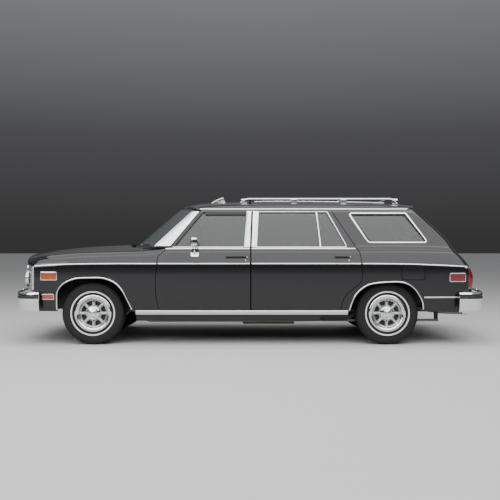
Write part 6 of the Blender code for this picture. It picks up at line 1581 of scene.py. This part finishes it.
def front_face():
    back = solid("grille_back", spread(0.495, -0.495, 31), spread(FACE_LOW_Z + 0.006, FACE_HIGH_Z - 0.006, 5),
                 lambda y, z: on_face(y, z) + Vector((0.030, 0, 0)), backward(0.010))
    dress(back, PLASTIC, "body", ["grille"])
    bars = []
    for k in range(41):
        y = between(-0.480, 0.480, k / 40)
        x = on_face(y, 0).x
        low, high = (x + 0.004, y - 0.0035, FACE_LOW_Z + 0.014), (x + 0.031, y + 0.0035, FACE_HIGH_Z - 0.014)
        bars.append((low, high))
    dress(boxes("grille_bars", bars, 0.0012), CHROME)
    for k, z in enumerate((0.622, 0.682, 0.742)):
        path = [(y, z) for y in spread(0.488, -0.488, 31)]
        dress(strip("grille_rib_%d" % (k + 1), path, bead(0.009, 0.003, 0.012), on_face), CHROME)
    edge = frame_of(-0.494, FACE_LOW_Z + 0.008, 0.494, FACE_HIGH_Z - 0.008, 0.020)
    loop = divided(edge, 0.04)
    loop.reverse()
    dress(strip("grille_surround", loop, bead(0.022, 0.010, 0.020), on_face, closed=True), CHROME)
    us, vs = spread(-0.504, -0.876, 15), spread(FACE_LOW_Z, FACE_HIGH_Z, 9)
    pod = solid("headlamp_pod_left", us, vs, on_face, backward(0.055))
    holes = [rod("bowl", on_face(-y, LAMP_Z), 0.084, 0.050, "X", 64) for y in LAMP_YS]
    fender_room = block("room", (-2.201, -0.95, 0), (0, -0.830, ROOF_Z))
    both(cut(pod, *holes, fender_room), SATIN, "body", ["headlamp_left"])
    for k, y in enumerate(LAMP_YS):
        centre = on_face(-y, LAMP_Z)
        both(turned("lamp_ring_%d_left" % (k + 1), LAMP_RING, centre, 64, "X"), CHROME)
        both(turned("lamp_lens_%d_left" % (k + 1), LAMP_LENS, centre, 64, "X"), LENS)
    us, vs = spread(0.86, -0.86, 41), spread(0.400, FACE_LOW_Z - 0.002, 5)
    apron = solid("face_apron", us, vs, lambda y, z: on_face(y, z) + Vector((0.02, 0, 0)), backward(0.006))
    dress(apron, PAINT)


# Tail
def tail_fittings():
    for name, z in (("upper", 0.790), ("lower", 0.582)):
        path = [(y, z) for y in spread(-0.905, -0.806, 10)]
        both(strip("%s_lamp_trim_left" % name, path, bead(0.010, 0.005), tail), CHROME)
    handle = [(y, 0.640) for y in spread(-0.110, 0.110, 24)]
    dress(strip("tailgate_handle", handle, bead(0.030, 0.022, 0.004), tail), CHROME, "tailgate")
    plate = [(y, 0.905) for y in spread(-0.700, 0.700, 60)]
    dress(strip("tailgate_moulding", plate, bead(0.016, 0.006), tail), CHROME, "tailgate")
    board = frame_of(-0.155, 0.700, 0.155, 0.850, 0.008)
    us, vs = spread(-0.160, 0.160, 13), spread(0.695, 0.855, 7)
    pad = solid("plate_place", us, vs, lambda y, z: tail(y, z) + Vector((0.004, 0, 0)), backward(-0.010))
    dress(keep(pad, prism(board, 2.0, 2.5, "X")), SATIN, "tailgate")
    border = strip("plate_frame", divided(board, 0.03), bead(0.010, 0.006), tail, closed=True)
    dress(border, CHROME, "tailgate")
    loop = divided(tail_window(-0.010), 0.05)
    dress(strip("tail_window_trim", loop, bead(0.018, 0.006), tail, closed=True), CHROME, "tailgate")


for place, axle_x in (("front", FRONT_AXLE_X), ("rear", REAR_AXLE_X)):
    wheel(place, axle_x)
windscreen()
rear_header()
pillars()
side_trim()
centre_pillar()
markers()
handles()
mirrors()
roof_fittings()
bumpers()
front_face()
tail_fittings()


# Cabin
FLOOR_Z, TUNNEL_HALF, TUNNEL_Z = 0.262, 0.150, 0.420
CUSHION_Z = 0.550
HUB = Vector((-0.470, -0.370, 0.860))
HUB_TURN = Matrix.Translation(HUB) @ Matrix.Rotation(math.radians(62), 4, "Y")
DASH_TRIMS = (
    ((-0.7475, -0.760, 0.800), (-0.741, 0.760, 0.812)),
    ((-0.7560, -0.645, 0.922), (-0.748, -0.075, 0.930)),
)
# Brake and throttle, then the arms that they hang from
PEDALS = (
    ((-0.800, -0.440, 0.360), (-0.786, -0.330, 0.425)),
    ((-0.800, -0.240, 0.340), (-0.786, -0.190, 0.440)),
    ((-0.960, -0.392, 0.385), (-0.790, -0.378, 0.399)),
    ((-0.960, -0.221, 0.385), (-0.790, -0.209, 0.399)),
)


def stuffed(body, reach, grain=0.022):
    """Swells a closed form as its stuffing does, no point moving further than its reach."""
    modified(body, "REMESH", mode="VOXEL", voxel_size=grain)
    start = [vert.co.copy() for vert in body.data.vertices]
    cloth = body.modifiers.new("cloth", "CLOTH")
    cloth.settings.quality = 3
    cloth.settings.use_pressure = True
    cloth.settings.uniform_pressure_force = 4.0
    cloth.settings.effector_weights.gravity = 0.0
    for step in range(1, 21):
        bpy.context.scene.frame_set(step)
    applied(body)
    bpy.context.scene.frame_set(1)
    for vert, old in zip(body.data.vertices, start):
        move = vert.co - old
        if move.length > reach:
            vert.co = old + move.normalized() * reach
    return modified(body, "SUBSURF", levels=1, render_levels=1)


def sewn(body, lines, up, depth=0.012, width=0.014):
    """Presses sewn channels into the side of a stuffed form that faces up, along lines of (low, high, y)."""
    facing = [vert.normal.dot(up) for vert in body.data.vertices]
    for vert, turn in zip(body.data.vertices, facing):
        x, y = vert.co.x, vert.co.y
        line = min(lines, key=lambda row: abs(row[2] - y))
        if turn > 0.35 and line[0] < x < line[1]:
            fade = min(1.0, (x - line[0]) / 0.03, (line[1] - x) / 0.03)
            vert.co -= up * depth * fade * math.exp(-((y - line[2]) / width) ** 2)
    return body


def seat(name, half, front_x, cushion_x, back):
    """A bench: a stuffed cushion and back over their base, inside the solid that they stand for."""
    pitch = half * 2 / 14
    lines = [pitch * k for k in range(-6, 7)]
    cushion = block(name + "_cushion", (front_x + 0.022, -half + 0.022, TUNNEL_Z + 0.024),
                    (cushion_x, half - 0.022, CUSHION_Z - 0.022), 0.030)
    stuffed(cushion, 0.022)
    sewn(cushion, [(front_x + 0.090, cushion_x - 0.05, y) for y in lines], Vector((0, 0, 1)))
    rest = prism(rounded([(*corner, 0.032) for corner in back]), -half + 0.022, half - 0.022)
    rest.name = name + "_back"
    rounding = modified(rest, "BEVEL", width=0.024, segments=3, limit_method="ANGLE")
    stuffed(rounding, 0.020)
    lean = Vector((back[1][0] - back[0][0], 0, back[1][1] - back[0][1])).normalized()
    sewn(rest, [(back[0][0] - 0.06, back[1][0] - 0.02, y) for y in lines], Vector((-lean.z, 0, lean.x)))
    for body in (cushion, rest):
        dress(body, VINYL, "body", [name], 60)
    feet = []
    for hand in (-1, 1):
        low, high = sorted((hand * (TUNNEL_HALF + 0.020), hand * (half - 0.030)))
        feet.append(((front_x + 0.050, low, FLOOR_Z + 0.005), (cushion_x + 0.010, high, TUNNEL_Z + 0.018)))
    dress(boxes(name + "_base", feet, 0.010), PLASTIC, "body", [name])


def seats():
    seat("front_seat", 0.690, -0.420, 0.030, ((0.078, 0.520), (0.252, 1.018), (0.352, 1.005), (0.166, 0.470)))
    seat("rear_seat", 0.575, 0.400, 0.800, ((0.842, 0.520), (0.960, 1.018), (1.030, 1.010), (0.934, 0.470)))


def dashboard():
    outline = [(-0.966, 0.712, 0.004), (-0.790, 0.690, 0.020), (-0.742, 0.798, 0.020), (-0.752, 0.925, 0.024),
               (-0.795, 0.982, 0.022), (-0.925, 0.972, 0.014), (-0.966, 0.900, 0.010)]
    shell = prism(rounded(outline, 6), -0.768, 0.768)
    shell.name = "dash_shell"
    binnacle = frame_of(-0.800, 0.820, -0.700, 0.920, 0.010)
    glove_line = block("glove", (-0.757, 0.200, 0.720), (-0.700, 0.640, 0.722))
    cut(shell, prism(binnacle, -0.640, -0.080), glove_line)
    dress(shell, VINYL, "body", ["dashboard"])
    dials = []
    for k, (y, size) in enumerate(((-0.560, 0.042), (-0.420, 0.042), (-0.280, 0.034), (-0.160, 0.030))):
        inner = size - 0.006
        profile = [(0.000, size), (-0.010, size), (-0.010, size - 0.005), (-0.004, inner), (0.000, inner)]
        dress(turned("dial_ring_%d" % (k + 1), profile, Vector((-0.790, y, 0.870)), 48, "X"), CHROME)
        dials.append(rod("dial", (-0.796, y, 0.870), size - 0.004, 0.012, "X", 40))
    faces = dials[0]
    dress(join(faces, *dials[1:]), DIAL)
    faces.name = "dial_faces"
    dress(boxes("dash_trim", DASH_TRIMS, 0.002), CHROME)
    vents = []
    for low in (-0.755, 0.665, 0.060):
        for row in range(5):
            z = 0.838 + row * 0.016
            vents.append(((-0.758, low, z), (-0.7440, low + 0.090, z + 0.006)))
    dress(boxes("dash_vents", vents, 0.001), PLASTIC)
    column = rod("steering_column", (0, 0, -0.185), 0.024, 0.330, "Z", 32, 0.020, 0.004)
    column.data.transform(HUB_TURN)
    shroud = rod("column_shroud", (0, 0, -0.150), 0.040, 0.170, "Z", 32, 0.028, 0.008)
    shroud.data.transform(HUB_TURN)
    dress(column, PLASTIC, "body", ["dashboard"])
    dress(shroud, VINYL)
    stalk = rod("gear_stalk", (0.110, 0, -0.090), 0.005, 0.170, "X", 16, 0.004, 0.001)
    stalk.data.transform(HUB_TURN @ Matrix.Rotation(math.radians(65), 4, "Z"))
    dress(stalk, CHROME)
    dress(boxes("pedals", PEDALS, 0.004), RUBBER)


def circle(reach, radius, thickness, steps):
    """Round section of a ring: its place along the axis, its radius and its own radius."""
    turns = [math.tau * k / steps for k in range(steps)]
    return [(reach + thickness * math.sin(turn), radius - thickness * math.cos(turn)) for turn in turns]


def wheel_rim():
    """Steering wheel with its horn ring, spokes and hub."""
    rim = turned("steering_rim", circle(0.0, 0.190, 0.0115, 16), Vector(), 96, "Z")
    rim.data.transform(HUB_TURN)
    dress(rim, PLASTIC, "steering_wheel", ["steering_wheel"])
    ring = turned("horn_ring", circle(0.012, 0.118, 0.003, 8), Vector(), 64, "Z")
    ring.data.transform(HUB_TURN)
    dress(ring, CHROME, "steering_wheel")
    profile = [(-0.012, 0.0), (-0.012, 0.036), (0.004, 0.036), (0.012, 0.030), (0.015, 0.018), (0.015, 0.0)]
    hub = turned("steering_hub", profile, Vector(), 48, "Z")
    hub.data.transform(HUB_TURN)
    dress(hub, PLASTIC, "steering_wheel")
    spokes = []
    for turn in (-100, 100, 180):
        spoke = block("spoke", (0.028, -0.012, -0.005), (0.184, 0.012, 0.005), 0.004)
        spoke.data.transform(Matrix.Rotation(math.radians(turn), 4, "Z"))
        spokes.append(spoke)
    arms = join(spokes[0], *spokes[1:])
    arms.name = "steering_spokes"
    arms.data.transform(HUB_TURN)
    dress(arms, SATIN, "steering_wheel")


def door_cards():
    """Trim inside the doors, with armrests, pulls and winders."""
    for place, low, high in (("front", -0.800, -0.055), ("rear", 0.130, 0.900)):
        node = "%s_door_left" % place
        us, vs = spread(low, high, 20), spread(0.30, 1.86, 17)
        inner = Vector((0, DOOR_WALL + 0.0008, 0))
        card = solid("%s_door_card_left" % place, us, vs, lambda x, v: on_side(x, v) + inner, inward(0.005))
        both(card, VINYL, node)
        wall_y = -side_y(between(low, high, 0.5), 0.70) + DOOR_WALL + 0.004
        start, end = (low + 0.22, wall_y, 0.665), (high - 0.10, wall_y + 0.042, 0.712)
        both(block("%s_armrest_left" % place, start, end, 0.012), VINYL, node)
        start, end = (high - 0.36, wall_y + 0.004, 0.760), (high - 0.22, wall_y + 0.016, 0.778)
        both(block("%s_door_pull_left" % place, start, end, 0.004), CHROME, node)
        centre = (low + 0.160, wall_y + 0.008, 0.600)
        both(rod("%s_winder_boss_left" % place, centre, 0.018, 0.020, "Y", 24, None, 0.003), CHROME, node)
        start, end = (low + 0.155, wall_y + 0.013, 0.600), (low + 0.165, wall_y + 0.021, 0.690)
        both(block("%s_winder_left" % place, start, end, 0.003), CHROME, node)


def floor_cover(name, low_x, high_x, half, thick=0.004):
    """Carpet over the floor and its tunnel."""
    def point(x, y):
        rise = (TUNNEL_Z - FLOOR_Z) * (1.0 if abs(y) < TUNNEL_HALF + 0.003 else 0.0)
        return Vector((x, y, FLOOR_Z + 0.0008 + rise))

    def push(x, y):
        return Vector((0, math.copysign(0.003, y) if 0.14 < abs(y) < 0.16 else 0, thick))

    low, high = TUNNEL_HALF + 0.0015, TUNNEL_HALF + 0.0045
    return solid(name, [low_x, high_x], [-half, -high, -low, low, high, half], point, push)


def floors():
    dress(floor_cover("cabin_carpet", -0.960, 0.965, 0.735), CARPET, angle=20)
    dress(block("load_carpet", (1.070, -0.585, 0.5158), (2.160, 0.585, 0.5200), 0.001), CARPET)
    slats = [((1.090, y - 0.009, 0.5202), (2.140, y + 0.009, 0.5235)) for y in spread(-0.50, 0.50, 7)]
    dress(boxes("load_slats", slats, 0.001), SATIN)
    step = block("rear_scuff_plate", (2.150, -0.600, 0.5706), (2.196, 0.600, 0.5726), 0.0008)
    dress(step, SATIN)
    for hand, name in ((-1, "left"), (1, "right")):
        low = (-0.640, hand * 0.36 - 0.18, 1.366)
        visor = block("sun_visor_" + name, low, (-0.500, hand * 0.36 + 0.18, 1.378), 0.005)
        dress(visor, LINER)
    glass = block("rear_view_mirror", (-0.700, -0.110, 1.300), (-0.686, 0.110, 1.352), 0.005)
    dress(glass, CHROME)
    dress(rod("rear_view_stem", (-0.693, 0, 1.374), 0.004, 0.046, "Z", 16), CHROME)


def wipers():
    """Two wipers lying at the windscreen's foot, on the cowl."""
    for hand, name, foot in ((-1, "left", -0.42), (1, "right", 0.20)):
        start = screen(foot / SCREEN_FOOT[0], 0.0) + Vector((-0.030, 0, -0.004))
        pivot = rod("wiper_pivot_" + name, start, 0.013, 0.022, "Z", 24, 0.009, 0.002)
        dress(pivot, PLASTIC)
        tip = foot - 0.30
        line = []
        for k in range(14):
            y = between(foot, tip, k / 13)
            here = screen(max(-0.97, y / SCREEN_FOOT[0]), between(0.0, 0.050, k / 13))
            line.append(here + Vector((-0.022, 0, 0.012)))
        arm = tube("wiper_arm_" + name, [start + Vector((0, 0, 0.010))] + line[2:8], 0.0035, 10)
        dress(arm, SATIN)
        blade = []
        for y in spread(foot - 0.05, tip - 0.04, 18):
            blade.append(screen(max(-0.975, y / 0.83), 0.045) + Vector((-0.009, 0, 0.006)))
        dress(tube("wiper_blade_" + name, blade, 0.0042, 8), RUBBER)


def tail_pipe():
    centre = Vector((2.290, -0.500, 0.300))
    wall = [(-0.030, 0.0235), (0.030, 0.0235), (0.030, 0.0255), (-0.030, 0.0255)]
    dress(turned("exhaust_tip", wall, centre, 40, "X"), CHROME)


def carried_over():
    """Finishes of the frame's nodes that stay in view."""
    for finish, names in (
        (JAMB, ("windscreen_frame", "hood", "tail_lamp_left", "tail_lamp_right")),
        (UNDERSEAL, ("underbody", "front_frame")),
        (STEEL, ("engine", "rear_axle", "exhaust", "knuckle_left", "knuckle_right")),
    ):
        for name in names:
            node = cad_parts.get(name)
            if node is not None and node.material_slots:
                node.material_slots[0].material = finish[0]


seats()
dashboard()
wheel_rim()
door_cards()
floors()
wipers()
tail_pipe()
carried_over()


# Studio
CAMERA_DISTANCE, CAMERA_HEIGHT = 8.45, 1.05
LENS_LENGTH, LENS_SHIFT = 53.57, -0.016
FLOOR_REACH, FLOOR_DROP = 60, 0.001
SKY_STRENGTH = 0.55
SKY_STOPS = ((0.0, (0.07, 0.07, 0.07, 1)), (0.14, (0.14, 0.14, 0.15, 1)), (0.50, (0.62, 0.63, 0.65, 1)))


def studio():
    world = bpy.context.scene.world or bpy.data.worlds.new("studio")
    bpy.context.scene.world = world
    world.use_nodes = True
    tree = world.node_tree
    place = tree.nodes.new("ShaderNodeTexCoord")
    split = tree.nodes.new("ShaderNodeSeparateXYZ")
    ramp = tree.nodes.new("ShaderNodeValToRGB")
    tree.links.new(place.outputs["Generated"], split.inputs[0])
    tree.links.new(split.outputs["Z"], ramp.inputs["Fac"])
    tree.links.new(ramp.outputs["Color"], tree.nodes["Background"].inputs["Color"])
    stops = ramp.color_ramp.elements
    low, middle, high = SKY_STOPS
    stops[0].position, stops[0].color = low
    stops[1].position, stops[1].color = high
    stops.new(middle[0]).color = middle[1]
    tree.nodes["Background"].inputs["Strength"].default_value = SKY_STRENGTH
    ends = [-FLOOR_REACH, FLOOR_REACH]
    floor = sheet("studio_floor", ends, ends, lambda a, b: Vector((a, b, -FLOOR_DROP)))
    pale = Finish("pale_floor", "black_plastic", (0.54, 0.54, 0.53), 0.75)
    pale.drive("Roughness", 0.70 + pale.noise(3.0) * 0.10)
    floor.data.materials.append(pale.made)


def light(name, place, aim, size, power):
    lamp = bpy.data.lights.new(name, "AREA")
    lamp.shape, lamp.size, lamp.size_y, lamp.energy = "RECTANGLE", size[0], size[1], power
    made = linked(name, lamp)
    made.location = place
    made.rotation_euler = (Vector(aim) - Vector(place)).to_track_quat("-Z", "Y").to_euler()


def camera():
    lens = bpy.data.cameras.new("camera")
    lens.lens, lens.sensor_width, lens.shift_y = LENS_LENGTH, 36.0, LENS_SHIFT
    made = linked("camera", lens)
    made.location = (0.0, -CAMERA_DISTANCE, CAMERA_HEIGHT)
    made.rotation_euler = (math.pi / 2, 0.0, 0.0)
    bpy.context.scene.camera = made


studio()
light("overhead", (0.0, -1.0, 6.0), (0.0, 0.0, 0.5), (9.0, 5.0), 420)
light("side_softbox", (0.0, -8.9, 7.9), (0.0, -0.8, 1.2), (18.0, 9.8), 1900)
light("front_fill", (-6.0, -7.0, 3.5), (0.0, 0.0, 0.6), (3.0, 3.0), 160)
camera()
